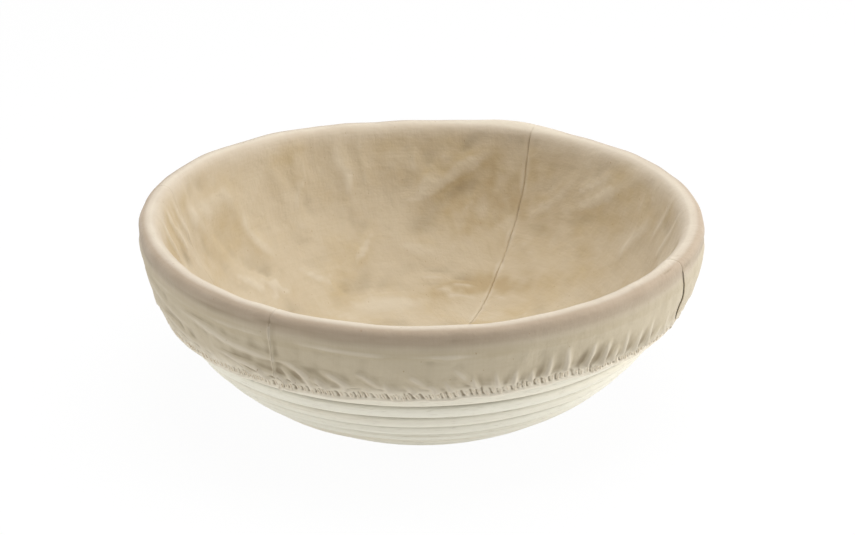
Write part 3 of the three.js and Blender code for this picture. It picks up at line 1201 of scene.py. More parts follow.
    def bare_sheet(self, angle: Array) -> tuple[Array, Array, Array]:
        """The cloth before its folds.

        Args:
            angle: Columns about the axis, in radians.

        Returns:
            Radii, heights and lengths along the bowl's curve, row by column.
        """
        form = self.form
        zone, share = self.upright_rows
        column = np.broadcast_to(angle[None], (len(zone), len(angle)))
        edge = self.hem_edge(column)
        middle, half = (self.hem_outer + self.hem_inner) / 2, self.hem_rounding
        leaves = form.rim_length - self.rim_bridge
        rim_seat = form.slim_depth(form.rim_length) / 2 + self.bowl_seat
        stand = form.cane_depth / 2 + self.rim_stand + self.rim_sway * np.cos(column)
        turn = np.pi * share
        zones = [zone == kind for kind in (Zone.BOWL, Zone.RIM, Zone.SKIRT, Zone.FOLD)]
        lengths = [
            share * leaves + 0 * column,
            form.rim_length - self.rim_bridge * unit(1 - 2 * share) + 0 * column,
            form.rim_length + share * (edge + half - form.rim_length),
            edge + half - half * np.sin(turn),
        ]
        length = np.select(zones, lengths, edge + half + share * (self.hem_height - half))
        outs = [
            -self.seat(share * leaves),
            0.0,
            stand + share**self.skirt_settling * (self.hem_outer - stand),
            middle + half * np.cos(turn),
        ]
        r, z = form.wall(length, np.select(zones, outs, self.hem_inner) + 0 * column)
        arch = np.pi * (1 - share)
        power = 2 / self.rim_fullness
        top_r = form.rim_radius + (stand - rim_seat) / 2
        over_r = top_r + (form.rim_radius + stand - top_r) * np.abs(np.cos(arch)) ** power
        over_z = form.rim_height + (self.rim_top - form.rim_height) * np.abs(np.sin(arch)) ** power
        up_r, up_z = self.bridge(unit(2 * share), top_r)
        outer = share > 0.5
        on_rim = zone == Zone.RIM
        r = np.where(on_rim, np.where(outer, over_r, up_r), r)
        z = np.where(on_rim, np.where(outer, over_z, up_z), z)
        return r, z, length

    def bridge(self, share: Array, top_r: Array) -> tuple[Array, Array]:
        """The smooth curve on which the cloth leaves the bowl's wall and comes to lie on top of the rim.

        Args:
            share: Places along the curve, from 0 at the wall to 1 on top.
            top_r: Radius on top of the rim.

        Returns:
            Radii and heights.
        """
        leaves = self.form.rim_length - self.rim_bridge
        foot_r, foot_z = self.form.wall(leaves, -self.seat(leaves))
        near_r, near_z = self.form.wall(leaves - 1, -self.seat(leaves - 1))
        step = math.hypot(foot_r - near_r, foot_z - near_z)
        pull = self.bridge_pull * (self.rim_top - foot_z) / step
        way_r, way_z = pull * (foot_r - near_r), pull * (foot_z - near_z)
        over = self.bridge_pull * (top_r - foot_r) + self.bridge_overhang * way_r
        onward = eased(share)
        leave, arrive = share * (1 - share) ** 2, share * share * (share - 1)
        r = foot_r + (top_r - foot_r) * onward + way_r * leave + over * arrive
        z = foot_z + (self.rim_top - foot_z) * onward + way_z * leave
        return r, z

    def seat(self, length: Array) -> Array:
        """How far inside the cane's middle the cloth lies: most where it spans the upper wall."""
        below = self.form.rim_length - length
        across = self.bridge_swell * bell(below - self.swell_drop, self.swell_reach)
        return self.form.slim_depth(length) / 2 + self.bowl_seat + across

    @property
    def rim_top(self) -> float:
        """Height of the cloth on top of the rim."""
        return self.form.rim_height + self.form.cane_width / 2 + self.rim_stand

    def inside(self) -> Array:
        """How much each row belongs to the bowl's inside: 1 there, 0 on top of the rim and beyond."""
        zone, share = self.upright_rows
        return np.select([zone == Zone.BOWL, zone == Zone.RIM], [1.0, unit(1 - 2 * share)], 0.0)

    def folds(self, angle: Array, r: Array, z: Array, length: Array) -> Array:
        """How far each point of the cloth stands out of the bare sheet.

        Args:
            angle: Columns about the axis, in radians.
            r: The bare sheet's radii.
            z: Its heights.
            length: Its lengths along the bowl's curve.

        Returns:
            Millimetres towards the side of the cloth that shows.
        """
        zone, share = self.upright_rows
        column = np.broadcast_to(angle[None], r.shape)
        x, y = r * np.cos(column), r * np.sin(column)
        lift = self.inside() * self.bowl_folds(column, x, y, z, length)
        lift = lift + np.where(zone == Zone.RIM, self.rim_ripple(column, share), 0.0)
        outside = (zone == Zone.SKIRT) | (zone == Zone.FOLD)
        lift = lift + np.where(outside, self.skirt_folds(column, share, length), 0.0)
        outer = outside | ((zone == Zone.RIM) & (share > 0.5))
        lift = lift + np.where(outer, self.lip_recess(column, self.rim_top - z), 0.0)
        return lift + self.seam_groove(column, r, zone)

    def bowl_folds(self, column: Array, x: Array, y: Array, z: Array, length: Array) -> Array:
        """Soft wrinkles in the bowl, upright ones under the rim, and the cloth across the base's bend."""
        below = self.form.rim_length - length
        calm = unit(below / 12) * unit(length / 20)
        broad, fine, hang = (self.noise(grain) for grain in (Grain.BROAD, Grain.FINE, Grain.UPRIGHT))
        swell = self.swell_height * broad.at(x / 50, y / 50, z / 50)
        ridge = bell(fine.at(x / 36, y / 36, z / 30), 1 / 3)
        pick = unit(broad.at(x / 60 + 7, y / 60, z / 60) * 2 + 0.45)
        small = 0.3 * fine.at(x / 17, y / 17, z / 22) + 0.12 * hang.at(x / 8, y / 8, z / 11)
        crumple = unit(1 - 3.4 * np.abs(fine.at(x / 19 + 4, y / 19, z / 22))) ** 1.5
        crumple = self.crumple_height * crumple * unit(1.3 - pick)
        lift = calm * (swell + self.ridge_height * ridge * pick + small + crumple)
        upright = bell(hang.around(column, 7.5, length / 70), 1 / 2.4)
        lift = lift + upright * self.upright_height * bell(below - 16, 15) * (0.45 + 0.9 * pick)
        bend = bell(length - self.form.base_radius - 9, 13)
        lift = lift + self.bend_height * bend * (1 + 0.7 * broad.around(column, 2.5, 0))
        for crease in self.bowl_creases:
            lift = lift + self.crease_lift(crease, column, length, np.hypot(x, y))
        return np.maximum(lift, -self.deepest_fold)

    @property
    def bowl_creases(self) -> list[Crease]:
        """The folds inside the bowl that stand out."""
        return [
            Crease(68, 122, 160, 5.0, 1.2, 24),
            Crease(78, 128, 159, 3.4, 0.5, 14),
            Crease(26, 126, 160, 4.4, 0.9, 22),
            Crease(88, 73, 82, 2.6, 1.0, -22),
            Crease(85, 66, 75, 2.4, 0.9, -17),
            Crease(50, 70, 78, 3.0, 0.6, 10),
            Crease(112, 116, 158, 4.2, 0.8, -4),
            Crease(122, 124, 158, 3.6, 0.7, 3),
            Crease(131, 112, 157, 4.8, 0.8, -6),
            Crease(148, 100, 157, 4.6, 0.8, -9),
            Crease(164, 92, 157, 4.4, 0.9, -14),
            Crease(175, 104, 157, 4.0, 0.7, -10),
            Crease(184, 96, 156, 4.4, 0.8, -12),
            Crease(196, 84, 152, 5.0, 0.8, -16),
            Crease(150, 84, 104, 2.4, 0.8, -9),
            Crease(141, 86, 100, 2.2, 0.7, 8),
            Crease(133, 84, 98, 2.2, 0.7, -8),
            Crease(158, 92, 112, 2.6, 0.8, -8),
            Crease(104, 92, 110, 2.4, 0.6, 7),
            Crease(171, 138, 159, 1.9, 0.9, -4),
            Crease(177, 134, 158, 2.0, 1.0, -5),
            Crease(184, 138, 158, 1.8, 0.9, -4),
            Crease(191, 132, 156, 2.0, 0.8, -5),
            Crease(8, 138, 158, 1.8, 0.8, 5),
            Crease(0, 134, 157, 1.8, 0.8, 6),
            Crease(351, 130, 155, 2.0, 0.8, 6),
            Crease(37, 138, 153, 2.0, 0.9, 10),
            Crease(44, 118, 157, 4.4, 0.8, 14),
            Crease(14, 110, 156, 4.4, 0.8, 12),
            Crease(300, 100, 154, 4.6, 0.8, 6),
            Crease(255, 96, 154, 4.4, 0.8, -5),
        ]

    def crease_lift(self, crease: Crease, column: Array, length: Array, radius: Array | float) -> Array:
        """The lift of one fold, rounded on top and fading to its ends.

        Args:
            crease: The fold.
            column: Angles about the axis.
            length: Lengths along the bowl's curve.
            radius: The radius at each place.

        Returns:
            Millimetres.
        """
        rise = crease.high - crease.low
        share = (length - crease.low) / rise
        middle = np.radians(crease.angle + crease.lean * (1 - share))
        across = rise / np.hypot(rise, math.radians(crease.lean) * radius)
        apart = turn_from(column, middle) * radius * across
        fade = np.sqrt(unit(4 * unit(share) * unit(1 - share)))
        return crease.height * fade * bell(apart, crease.width) * ((share > 0) & (share < 1))

    def rim_ripple(self, column: Array, share: Array) -> Array:
        """The cloth's unevenness over the rim, and the places where it is bunched, sunk and pinched."""
        ripple = self.ripple_height * self.noise(Grain.RIM).around(column, 8, share * 1.4)
        outer = unit((share - 0.55) / 0.45)
        inner = unit((0.35 - share) / 0.35)
        upright = unit(1 - 2.6 * np.abs(self.noise(Grain.UPRIGHT).around(column, 7.5, 2.2)))
        bunched = self.bunch_height * bell(self.apart(column, self.bunched_rim), 10)
        bunched = bunched - self.sink_depth * bell(self.apart(column, self.sunk_rim), 16)
        over = unit(np.sin(np.pi * unit(share - 0.06))) ** 3
        pinch = unit(1 - np.abs(self.apart(column, self.pinched_rim)) / 2.6) ** 0.5
        bunched = bunched * over - self.pinch_depth * pinch * bell(share - 0.66, 0.05)
        return ripple + 0.3 * inner * upright + 0.2 * outer * ripple + bunched

    def lip_recess(self, column: Array, drop: Array) -> Array:
        """The hollow where the cloth draws in under the lip, and the broken ridge below it.

        Args:
            column: Angles about the axis.
            drop: Millimetres below the top of the rim.

        Returns:
            Millimetres.
        """
        middle = self.recess_drop - 1.2 * bell(self.apart(column, self.raised_recess), 14)
        broken = 0.5 + 1.1 * self.noise(Grain.SKIRT).around(column, 6, 5)
        broken = unit(broken + 0.6 * bell(self.apart(column, self.ridged_lip), 12))
        slack = np.clip(np.abs(self.apart(column, self.taut_lip)) / 42, 0.12, 1) ** 1.3
        ridge = bell(drop - middle - 5.4, 1.1)
        hollow = bell(drop - middle, 3.2)
        return slack * (0.5 * broken * ridge - self.recess_depth * hollow)

    def apart(self, column: Array, degrees: float) -> Array:
        """Degrees from a place about the axis."""
        return np.degrees(turn_from(column, math.radians(degrees)))

    def skirt_folds(self, column: Array, share: Array, length: Array) -> Array:
        """The skirt's own unevenness, its folds, its gathers above the hem and the pleats in the hem."""
        below = self.form.rim_length - length
        above = length - self.hem_edge(column)
        noise = self.noise(Grain.SKIRT)
        lift = self.bulge_height * bell(self.apart(column, self.skirt_bulge), 9)
        lift = lift * np.sin(np.pi * unit(share))
        free = unit(below / 8)
        lift = lift + 0.55 * free * noise.around(column, 7, length / 15)
        lift = lift + 0.3 * free * noise.at(np.cos(column) * 19 + 3, np.sin(column) * 19, length / 8)
        for crease in self.skirt_creases:
            lift = lift + self.crease_lift(crease, column, above, self.form.rim_radius)
        lift = lift + self.gathers(column, above - self.hem_height)
        return lift + self.hem_pleats(column, above)

    @property
    def skirt_creases(self) -> list[Crease]:
        """The long slanting folds of the skirt."""
        return [
            Crease(219, 16, 25, 2.0, 1.0, 22),
            Crease(229, 8, 14, 1.8, 1.3, 13),
            Crease(206, 9, 15, 1.8, 0.8, 14),
            Crease(214, 8, 19, 1.4, 0.4, 4),
            Crease(258, 8, 16, 1.3, 0.8, 5),
            Crease(268, 8, 15, 1.3, 0.7, 4),
            Crease(276, 8, 18, 1.3, 0.7, 4),
            Crease(244, 8, 17, 1.6, 1.1, 7),
            Crease(252, 8, 15, 1.5, 1.0, 5),
            Crease(200, 17, 25, 2.2, 0.7, 16),
            Crease(120, 9, 20, 2.2, 0.9, -8),
            Crease(30, 9, 20, 2.2, 0.9, 8),
        ]

    def hem_pleats(self, column: Array, above: Array) -> Array:
        """The small slanting pleats between the stitches of the hem, over its rolled edge.

        Args:
            column: Angles about the axis.
            above: Millimetres above the hem's edge.

        Returns:
            Millimetres.
        """
        noise = self.noise(Grain.PLEATS)
        top = self.hem_height + 1.1 * bell(self.apart(column, self.tall_pleats), 24)
        top = top + 1.3 * noise.around(column, 16, 0)
        band = eased(unit(above - 1.5)) * eased(unit((top - above) / 2.4))
        depth = np.clip(0.85 + 0.7 * noise.around(column, 22, 3.3), 0.25, 1.0)
        pleat = (np.abs(np.cos(self.stitch_phase(column, above) / 2)) ** 1.1 - 1) * band * depth
        bead = self.bead_height * bell(above - 1.4, 0.7)
        waist = -self.waist_depth * bell(above - self.hem_height - 0.6, 1.0)
        return pleat + bead + waist

    def stitch_phase(self, column: Array, above: Array) -> Array:
        """Runs through a full turn from one stitch to the next, with their lean and uneven spacing."""
        side = np.clip(1.6 * np.sin(column + math.radians(self.stitch_turn)), -1, 1)
        wander = 2.4 * self.noise(Grain.STITCHES).around(column, 15, 0)
        lean = self.stitch_lean * side * (above / self.hem_height - 0.5)
        return 2 * np.pi * (column * self.form.rim_radius + wander + lean) / self.stitch_pitch

    @property
    def stitch_count(self) -> int:
        """Stitches round the hem."""
        return round(2 * math.pi * self.form.rim_radius / self.stitch_spacing)

    @property
    def stitch_pitch(self) -> float:
        """Distance from one stitch to the next."""
        return 2 * math.pi * self.form.rim_radius / self.stitch_count

    @cached_property
    def gather_folds(self) -> list[Crease]:
        """The folds above the hem, drawn up strongly on some stretches and weakly on others."""
        rng = np.random.default_rng(self.seed + Grain.GATHERS)
        folds, angle = [], 0.0
        while angle < 360:
            strong = max(self.drawn_up(angle, stretch) for stretch in self.gather_stretches)
            height = rng.uniform(0.5, 1.5) + strong * rng.uniform(1.6, 2.7)
            tall = rng.uniform(3, 10) + strong * rng.uniform(1, 9)
            lean = np.clip((angle - self.upright_gathers) / 14, -4, 4) + rng.uniform(-1.4, 1.4)
            width = rng.uniform(1.2, 1.8) + 0.4 * strong
            folds.append(Crease(angle, self.gather_foot, tall, width, height, lean))
            angle += rng.uniform(2.9, 4.9) - strong * rng.uniform(0.3, 1.3)
        return folds

    def drawn_up(self, angle: float, stretch: Stretch) -> float:
        """How strongly a stretch of the hem draws up the cloth at an angle, in degrees."""
        return stretch.strength * bell((angle - stretch.angle + 180) % 360 - 180, stretch.spread)

    def gathers(self, column: Array, above: Array) -> Array:
        """The lift of all the gathered folds. Each stands at its angle at its foot, and leans from there.

        Args:
            column: Angles about the axis.
            above: Millimetres above the hem's band.

        Returns:
            Millimetres.
        """
        lift = np.zeros(column.shape)
        for fold in self.gather_folds:
            share = unit((above - fold.low) / (fold.high - fold.low))
            middle = np.radians(fold.angle + fold.lean * share)
            apart = turn_from(column, middle) * self.form.rim_radius
            stand = unit(share / 0.22) * (1 - share) ** 1.1 * 1.25
            lift = lift + fold.height * stand * np.exp(-(np.abs(apart / fold.width) ** 1.4))
        return lift

    def seam_groove(self, column: Array, r: Array, zone: Array) -> Array:
        """The lines where gores meet: drawn in, but a ridge on the skirt's left and a lap on its right."""
        outside = (zone == Zone.SKIRT) | (zone == Zone.FOLD)
        total = np.zeros(column.shape)
        for number, (seam, depth) in enumerate(zip(self.seams, self.seam_depths)):
            side = turn_from(column, math.radians(seam)) * r
            groove = -self.seam_draw * bell(side, self.seam_width)
            groove = groove + 0.05 * bell(np.abs(side) - 1.7, 1.1)
            groove = groove * (0.3 + (depth - 0.3) * self.inside())
            wavering = 0.95 + 0.6 * self.noise(Grain.SEAMS).at(r / 4, number, 0)
            groove = groove * np.clip(wavering, 0.5, 1.0)
            on_skirt = groove
            if number == Seam.FRONT_LEFT:
                on_skirt = 0.6 * bell(side, 0.75) - 0.1 * np.tanh(side) * bell(side, 7)
            elif number == Seam.RIGHT:
                on_skirt = np.where(side > 0, 0.5, -0.1) * bell(side, 7)
            total = total + np.where(outside, on_skirt, groove)
        return total

    def seam_shift(self, column: Array, r: Array, length: Array, zone: Array) -> Array:
        """How far the cloth lies to one side: a twist on the base, a sway, and the open stretch of one seam.

        Args:
            column: Angles about the axis.
            r: Radii.
            length: Lengths along the bowl's curve.
            zone: The stretch of the cloth.

        Returns:
            Radians.
        """
        twist = -math.radians(self.base_twist) * unit((self.twist_end - length) / self.twist_fade) ** 2
        noise = self.noise(Grain.SWAY)
        sway = 0.9 * noise.at(length / 16, 0, 0) + 0.3 * noise.at(length / 4, 1, 0)
        sway = sway * unit(r / 50)
        side = turn_from(column, math.radians(self.seams[Seam.RIGHT])) * r
        below, above = self.form.rim_length - length, length - self.hem_edge(column)
        slit = unit(below / 6) * unit((above - 5) / 5) * (zone == Zone.SKIRT)
        gape = 0.06 * slit * np.sign(side) * bell(side, 3)
        lean = self.seam_lean * (np.clip(below, 0, 26) - 13) * bell(side, 26) * (zone != Zone.BOWL)
        return twist + (sway + gape + lean) / np.maximum(r, 1)

    def sheet(self, angle: Array) -> tuple[Array, Array, Array, Array]:
        """The finished surface over some columns.

        Args:
            angle: Columns about the axis, in radians.

        Returns:
            Points and their outward directions, row by column, and at each point the distance along the
            cloth and the lift.
        """
        r, z, length = self.bare_sheet(angle)
        column = np.broadcast_to(angle[None], r.shape)
        column = column + self.seam_shift(column, r, length, self.rows[0][:, None])
        along_r, along_z = np.gradient(r, axis=0), np.gradient(z, axis=0)
        size = np.maximum(np.hypot(along_r, along_z), 1e-9)
        way_r, way_z = -along_z / size, along_r / size
        steps = np.hypot(np.diff(r, axis=0), np.diff(z, axis=0))
        run = np.concatenate([np.zeros((1, r.shape[1])), np.cumsum(steps, axis=0)])
        lift = self.folds(angle, r, z, length)
        r, z = r + lift * way_r, z + lift * way_z + self.form.rim_lift(column, length)
        r = np.maximum(r, 0.0)
        points = np.stack([r * np.cos(column), r * np.sin(column), z], -1)
        ways = np.stack([way_r * np.cos(column), way_r * np.sin(column), way_z], -1)
        return points, ways, run, lift

    def build(self, effects: SurfaceEffects, carriers: list[Piece]) -> None:
        """Makes the gores, the stitches and the elastic, and dresses them.

        Args:
            effects: The shared effects.
            carriers: The pieces that the cloth lies on; not used.
        """
        cotton = self.cloth.build(effects)
        gores = [self.gore(number, cotton) for number in range(len(self.seams))]
        stitches = self.overlock()
        stitches.data.materials.append(self.thread.build(effects))
        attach(stitches, Body.LINER.value)
        tape = self.elastic()
        tape.data.materials.append(self.tape.build(effects))
        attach(tape, Body.LINER.value)
        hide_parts("hem_elastic")
        for piece in (stitches, tape):
            LOG.info("%s: %d faces", piece.name, len(piece.data.polygons))

    def gore(self, number: int, cotton: Material) -> Piece:
        """Makes one gore.

        Args:
            number: Which gore, counted from the first seam.
            cotton: Its material.

        Returns:
            The piece, with the cloth's thickness and a UV map of its flat cut.
        """
        angle = self.gore_angles(number)
        points, _, run, lift = self.sheet(angle)
        rows, columns = points.shape[:2]
        faces = strip_faces(rows, columns)[:, ::-1]
        piece = new_piece(f"liner_gore_{number + 1}_sewn", points.reshape(-1, 3), faces)
        middle = math.radians(self.seams[number] + self.gore_spread(number) / 2)
        width = (angle[None] - middle) * np.hypot(points[..., 0], points[..., 1])
        uv = np.stack([width + self.uv_spacing * number, run], -1).reshape(-1, 2) * MM
        set_uv(piece, "cut", uv)
        set_uv(piece, "relief", self.relief(lift, self.stain(points)))
        piece.data.materials.append(cotton)
        self.close_tip(piece)
        apply_modifier(piece, "SOLIDIFY", thickness=self.thickness * MM, offset=0.0, use_even_offset=False)
        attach(piece, Body.LINER.value)
        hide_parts(f"liner_gore_{number + 1}")
        LOG.info("%s: %d faces", piece.name, len(piece.data.polygons))
        return piece

    def stain(self, points: Array) -> Array:
        """The brown marks on the bowl's wall beside the back seam.

        Args:
            points: Points of the cloth, in millimetres.

        Returns:
            How dark the marks are, and 0 away from them.
        """
        x, y = points[..., 0], points[..., 1]
        r = np.hypot(x, y)
        side = turn_from(np.arctan2(y, x), math.radians(self.seams[Seam.BACK])) * r
        noise = self.noise(Grain.MARKS)
        broken = 0.85 + 0.7 * noise.at(side / 13, r / 6, 0) + 0.5 * noise.at(side / 5, r / 2.5, 1)
        total = np.zeros(r.shape)
        for mark in self.stains:
            across = (side - mark.side) / mark.width
            along = (r - mark.radius + mark.lean * (side - mark.side)) / mark.height
            total = total + mark.depth * np.exp(-(across**2) - along**2)
        return total * np.clip(broken, 0.25, 1.3) * (self.rows[0] == Zone.BOWL)[:, None]

    def relief(self, lift: Array, stain: Array) -> Array:
        """Maps the hollows between folds, where shade is painted, and their crests, where highlight is
        painted, and the stretch of the cloth that a place belongs to.

        Args:
            lift: How far each point stands out, row by column.
            stain: How dark the brown marks are, row by column.

        Returns:
            Two values for each point: 0 on a crest to 1 in a hollow, and 1 inside the bowl or more on a mark,
            0 on the rim and -1 at the hem's edge.
        """
        zone, share = self.upright_rows
        inside = self.inside()
        # how far a point lies below or above its surroundings, for painted shade in hollows and painted
        # highlight on crests
        near = np.clip((blurred(lift, 3, 6) - lift) / 0.6, -1, 1)
        wide = np.clip((blurred(lift, 5, 24) - lift) / 1.3, -1, 1)
        depth = (0.95 - 0.36 * inside) * near + (0.35 - 0.1 * inside) * wide
        hollow = 0.5 + 0.5 * np.clip(depth, -1 + 0.5 * inside, 1)
        # painted highlight along the top of the rim
        hollow = hollow - 0.34 * np.where(zone == Zone.RIM, bell(share - 0.46, 0.07), 0.0)
        down = 0.5 * unit(share / 0.25) + 0.5 * unit((share - 0.66) / 0.34)
        on_rim = inside - 0.2 * unit(2 * share - 1)
        zones = [zone == Zone.BOWL, zone == Zone.RIM, zone == Zone.SKIRT]
        place = np.select(zones, [1 + stain, on_rim, -0.2 - 0.8 * down], -1.0)
        return np.stack(np.broadcast_arrays(hollow, place), -1).reshape(-1, 2)

    def close_tip(self, piece: Piece) -> None:
        """Draws the gore's first row into its tip on the axis."""
        with editing(piece):
            bpy.ops.mesh.remove_doubles(threshold=0.00002)

    def on_sheet(self, angle: Array, above_edge: Array, stand: float) -> Array:
        """Points on the skirt's outer side.

        Args:
            angle: Angles about the axis, in radians.
            above_edge: Millimetres above the hem's edge.
            stand: Millimetres off the cloth.

        Returns:
            One point for each pair.
        """
        order = np.argsort(angle)
        columns = angle[order]
        points, ways, _, _ = self.sheet(columns)
        zone, share = self.rows
        skirt = np.flatnonzero(zone == Zone.SKIRT)
        edge = self.hem_edge(columns)
        reach = self.form.rim_length - edge
        spot = (reach - above_edge[order]) / (reach - self.hem_rounding)
        line = np.interp(spot, share[skirt], np.arange(len(skirt)))
        low = np.clip(np.floor(line).astype(int), 0, len(skirt) - 2)
        part = (line - low)[:, None]
        each = np.arange(len(columns))
        place = points[skirt[low], each] * (1 - part) + points[skirt[low + 1], each] * part
        way = ways[skirt[low], each] * (1 - part) + ways[skirt[low + 1], each] * part
        out = np.empty_like(place)
        out[order] = place + stand * way
        return out

    def overlock(self) -> Piece:
        """Sews the slanting stitches of the hem: one is modelled, and its copies follow the cloth."""
        count = self.stitch_count
        stitch, faces = self.one_stitch()
        along = stitch[:, 0]
        stations = np.unique(np.round(along, 5))
        rng = np.random.default_rng(self.seed + Grain.SEAMS)
        level = 2.0 + (self.hem_height - 2.2) * (stations + 0.5)
        angle = self.ridge_angles(level, count)
        low = rng.uniform(*self.stitch_feet, (count, 1))
        high = low + rng.uniform(*self.stitch_shares, (count, 1)) * (self.hem_height - 2.4)
        above = low + (high - low) * (stations[None] + 0.5)
        angle = np.array([np.interp(want, level, have) for want, have in zip(above, angle)])
        arc = 0.2 * unit(1 - (2 * np.abs(stations)) ** 2.5)
        spine = self.on_sheet(angle.ravel(), above.ravel(), 0.1).reshape(count, len(stations), 3)
        outer = self.on_sheet(angle.ravel(), above.ravel(), 1.1).reshape(count, len(stations), 3) - spine
        spine = spine + outer * arc[None, :, None]
        run = np.gradient(spine, axis=1)
        run /= np.linalg.norm(run, axis=2, keepdims=True)
        side = np.cross(run, outer)
        side /= np.linalg.norm(side, axis=2, keepdims=True)
        index = np.searchsorted(stations, np.round(along, 5))
        points = spine[:, index] + outer[:, index] * stitch[None, :, 1:2]
        points = points + side[:, index] * stitch[None, :, 2:3]
        every = (faces[None] + len(stitch) * np.arange(count)[:, None, None]).reshape(-1, faces.shape[1])
        return new_piece("hem_overlock_stitches", points.reshape(-1, 3), every)

    def ridge_angles(self, levels: Array, count: int) -> Array:
        """Finds where the crests between the pleats lie.

        Args:
            levels: Millimetres above the hem's edge.
            count: How many crests there are.

        Returns:
            Angles about the axis, crest by level.
        """
        every = np.linspace(-0.2, 2 * math.pi + 0.2, 12000)
        wanted = 2 * np.pi * np.arange(count)
        phases = [self.stitch_phase(every, np.full(every.shape, level)) for level in levels]
        return np.stack([np.interp(wanted, phase, every) for phase in phases], -1)

    def one_stitch(self) -> tuple[Array, Array]:
        """Models one stitch, a short rod of thread with narrow ends, along X.

        Returns:
            Its points, with X from -0.5 to 0.5 and the rest in millimetres, and its faces.
        """
        bpy.ops.object.select_all(action="DESELECT")
        lying = (0, math.pi / 2, 0)
        bpy.ops.mesh.primitive_cylinder_add(
            vertices=6, radius=self.thread_radius, depth=1.0, end_fill_type="NOTHING", rotation=lying
        )
        rod = bpy.context.object
        bpy.ops.object.transform_apply(location=False, rotation=True, scale=False)
        with editing(rod):
            for place in (-0.36, -0.18, 0.0, 0.18, 0.36):
                bpy.ops.mesh.select_all(action="SELECT")
                bpy.ops.mesh.bisect(plane_co=(place, 0, 0), plane_no=(1, 0, 0))
        points = np.array([v.co for v in rod.data.vertices])
        ends = np.abs(points[:, 0]) > 0.49
        points[ends, 1:] *= 0.45
        faces = np.array([list(p.vertices) for p in rod.data.polygons if len(p.vertices) == 4])
        bpy.data.objects.remove(rod)
        return points, faces

    def elastic(self) -> Piece:
        """Makes the tape that lies in the hem, a flat band round the basket."""
        count = self.tape_columns
        angle = np.linspace(0, 2 * math.pi, count, endpoint=False)
        edge = self.hem_edge(angle)
        middle, half = self.hem_inner + self.tape_stand, self.tape_half
        low, high = edge + self.tape_foot, edge + self.hem_height - self.tape_margin
        corners = [(0.02, -half), (0.5, -half), (0.98, -half), (0.98, half), (0.5, half), (0.02, half)]
        ring = []
        for share, out in corners:
            r, z = self.form.wall(low + share * (high - low), middle + out)
            z = z + self.form.rim_lift(angle, low)
            ring.append(np.stack([r * np.cos(angle), r * np.sin(angle), z], -1))
        points = np.stack(ring, 1)
        columns = len(corners)
        quads = strip_faces(count, columns, closed=True)
        here = np.arange(columns)
        after = (here + 1) % columns
        last = (count - 1) * columns
        wrap = np.stack([last + here, last + after, after, here], -1)
        piece = new_piece("hem_elastic_tape", points.reshape(-1, 3), np.concatenate([quads, wrap]))
        across = np.array(self.tape_girth)
        along = angle[:, None] * self.form.rim_radius
        uv = np.stack(np.broadcast_arrays(along, across[None]), -1).reshape(-1, 2) * MM
        set_uv(piece, "along", uv)
        with editing(piece):
            bpy.ops.mesh.normals_make_consistent(inside=False)
        return piece


# Studio


@dataclass(frozen=True)
class Lamp:
    """A square soft lamp that points at the basket, in metres and watts."""

    name: str
    place: tuple[float, float, float]
    size: float
    watts: float
    aim: tuple[float, float, float] = (0, 0, 0.05)

    def hang(self) -> None:
        """Makes the lamp."""
        light = bpy.data.lights.new(self.name, "AREA")
        light.shape = "SQUARE"
        light.size = self.size
        light.energy = self.watts
        lamp = bpy.data.objects.new(self.name, light)
        bpy.context.collection.objects.link(lamp)
        lamp.location = self.place
        way = Vector(self.aim) - Vector(self.place)
        lamp.rotation_euler = way.to_track_quat("-Z", "Y").to_euler()


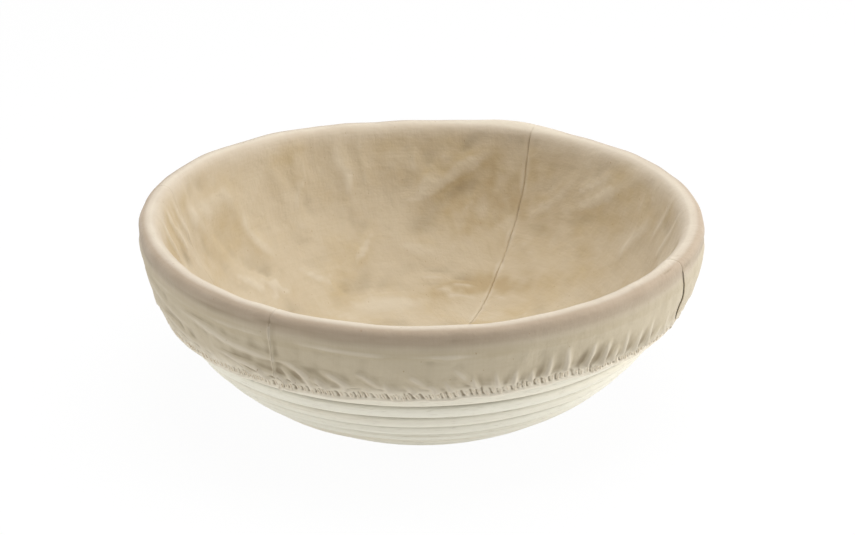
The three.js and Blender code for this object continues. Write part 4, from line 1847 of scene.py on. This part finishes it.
@dataclass
class Studio:
    """The white table, the soft light and the camera, in metres, degrees and the photograph's pixels."""

    target: tuple[float, float, float] = (0.0, 0.0, 0.078)
    distance: float = 0.944
    elevation: float = 22.53
    focal_px: float = 2128.3
    target_px: tuple[float, float] = (420.6, 222.5)
    image: tuple[int, int] = (855, 535)
    sensor_mm: float = 36.0
    table_size: float = 8.0
    table_white: float = 0.93
    table_glow: float = 0.43
    table_seen_white: float = 0.955
    daylight: float = 0.355
    lamps: tuple[Lamp, ...] = (
        Lamp("overhead_softbox", (0.13, 0.06, 1.05), 0.9, 11.0),
        Lamp("right_softbox", (1.05, -0.02, 0.32), 0.6, 6.2),
        Lamp("left_softbox", (-1.05, -0.12, 0.34), 0.6, 2.5),
    )

    def build(self) -> None:
        """Makes the table, the world, the lamps and the camera."""
        self.table()
        self.world()
        for lamp in self.lamps:
            lamp.hang()
        self.camera()
        bpy.context.scene.view_settings.view_transform = "Standard"

    def white_mix(self, bench: Bench, lit: Socket, kind: str, share: float, glow: float = 0.0) -> Socket:
        """Mixes in plain white for the rays that should see a white background.

        Args:
            bench: The tree's nodes.
            lit: The lit shader.
            kind: The node that makes the white.
            share: How much of the white those rays see.
            glow: How much of it all other rays see.

        Returns:
            The mixed shader.
        """
        path = bench.add("ShaderNodeLightPath")
        seen = bench.math("MAXIMUM", path.outputs["Is Camera Ray"], path.outputs["Is Glossy Ray"])
        seen = bench.math("MAXIMUM", seen, path.outputs["Is Transmission Ray"])
        white = bench.add(kind)
        white.inputs["Color"].default_value = WHITE
        white.inputs["Strength"].default_value = 1.0
        mixed = bench.add("ShaderNodeMixShader")
        bench.feed(mixed.inputs[0], bench.math("ADD", bench.math("MULTIPLY", seen, share - glow), glow))
        bench.feed(mixed.inputs[1], lit)
        bench.feed(mixed.inputs[2], white.outputs[0])
        return mixed.outputs[0]

    def table(self) -> None:
        """Lays the table's white top."""
        bpy.ops.object.select_all(action="DESELECT")
        bpy.ops.mesh.primitive_plane_add(size=self.table_size, location=(0, 0, 0))
        top = bpy.context.object
        top.name = "white_table"
        material = bpy.data.materials.new("white_table_top")
        material.use_nodes = True
        tree = material.node_tree
        bench = Bench(tree)
        tree.nodes.remove(tree.nodes["Principled BSDF"])
        matt = bench.add("ShaderNodeBsdfDiffuse")
        matt.inputs["Color"].default_value = (self.table_white,) * 3 + (1,)
        lit, seen = matt.outputs[0], self.table_seen_white
        shine = self.white_mix(bench, lit, "ShaderNodeEmission", seen, self.table_glow)
        bench.feed(tree.nodes["Material Output"].inputs["Surface"], shine)
        top.data.materials.append(material)

    def world(self) -> None:
        """Sets an even white surround, dimmer as light than as background."""
        world = bpy.data.worlds.new("white_room")
        bpy.context.scene.world = world
        world.use_nodes = True
        tree = world.node_tree
        bench = Bench(tree)
        room = tree.nodes["Background"]
        room.inputs["Color"].default_value = WHITE
        room.inputs["Strength"].default_value = self.daylight
        shine = self.white_mix(bench, room.outputs[0], "ShaderNodeBackground", 1.0)
        bench.feed(tree.nodes["World Output"].inputs["Surface"], shine)

    def camera(self) -> None:
        """Places the camera where the photograph was taken from."""
        data = bpy.data.cameras.new("camera")
        data.sensor_fit = "HORIZONTAL"
        data.sensor_width = self.sensor_mm
        data.lens = self.focal_px / self.image[0] * self.sensor_mm
        camera = bpy.data.objects.new("camera", data)
        bpy.context.collection.objects.link(camera)
        up = math.radians(self.elevation)
        eye = Vector(self.target) + self.distance * Vector((0, -math.cos(up), math.sin(up)))
        look = (Vector(self.target) - eye).to_track_quat("-Z", "Y").to_matrix()
        right = math.atan((self.image[0] / 2 - self.target_px[0]) / self.focal_px)
        down = math.atan((self.image[1] / 2 - self.target_px[1]) / self.focal_px)
        turn = Euler((-down, -right, 0), "XYZ").to_matrix()
        camera.matrix_world = Matrix.Translation(eye) @ (look @ turn).to_4x4()
        bpy.context.scene.camera = camera


def main() -> None:
    """Builds the studio, the basket and the liner, in that order."""
    logging.basicConfig(level=logging.INFO, format="%(name)s %(message)s")
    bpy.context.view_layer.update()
    form = BowlForm()
    effects = SurfaceEffects()
    Studio().build()
    canes = CaneBasket(form).build(effects)
    ClothLiner(form).build(effects, canes)


if __name__ == "__main__":
    main()
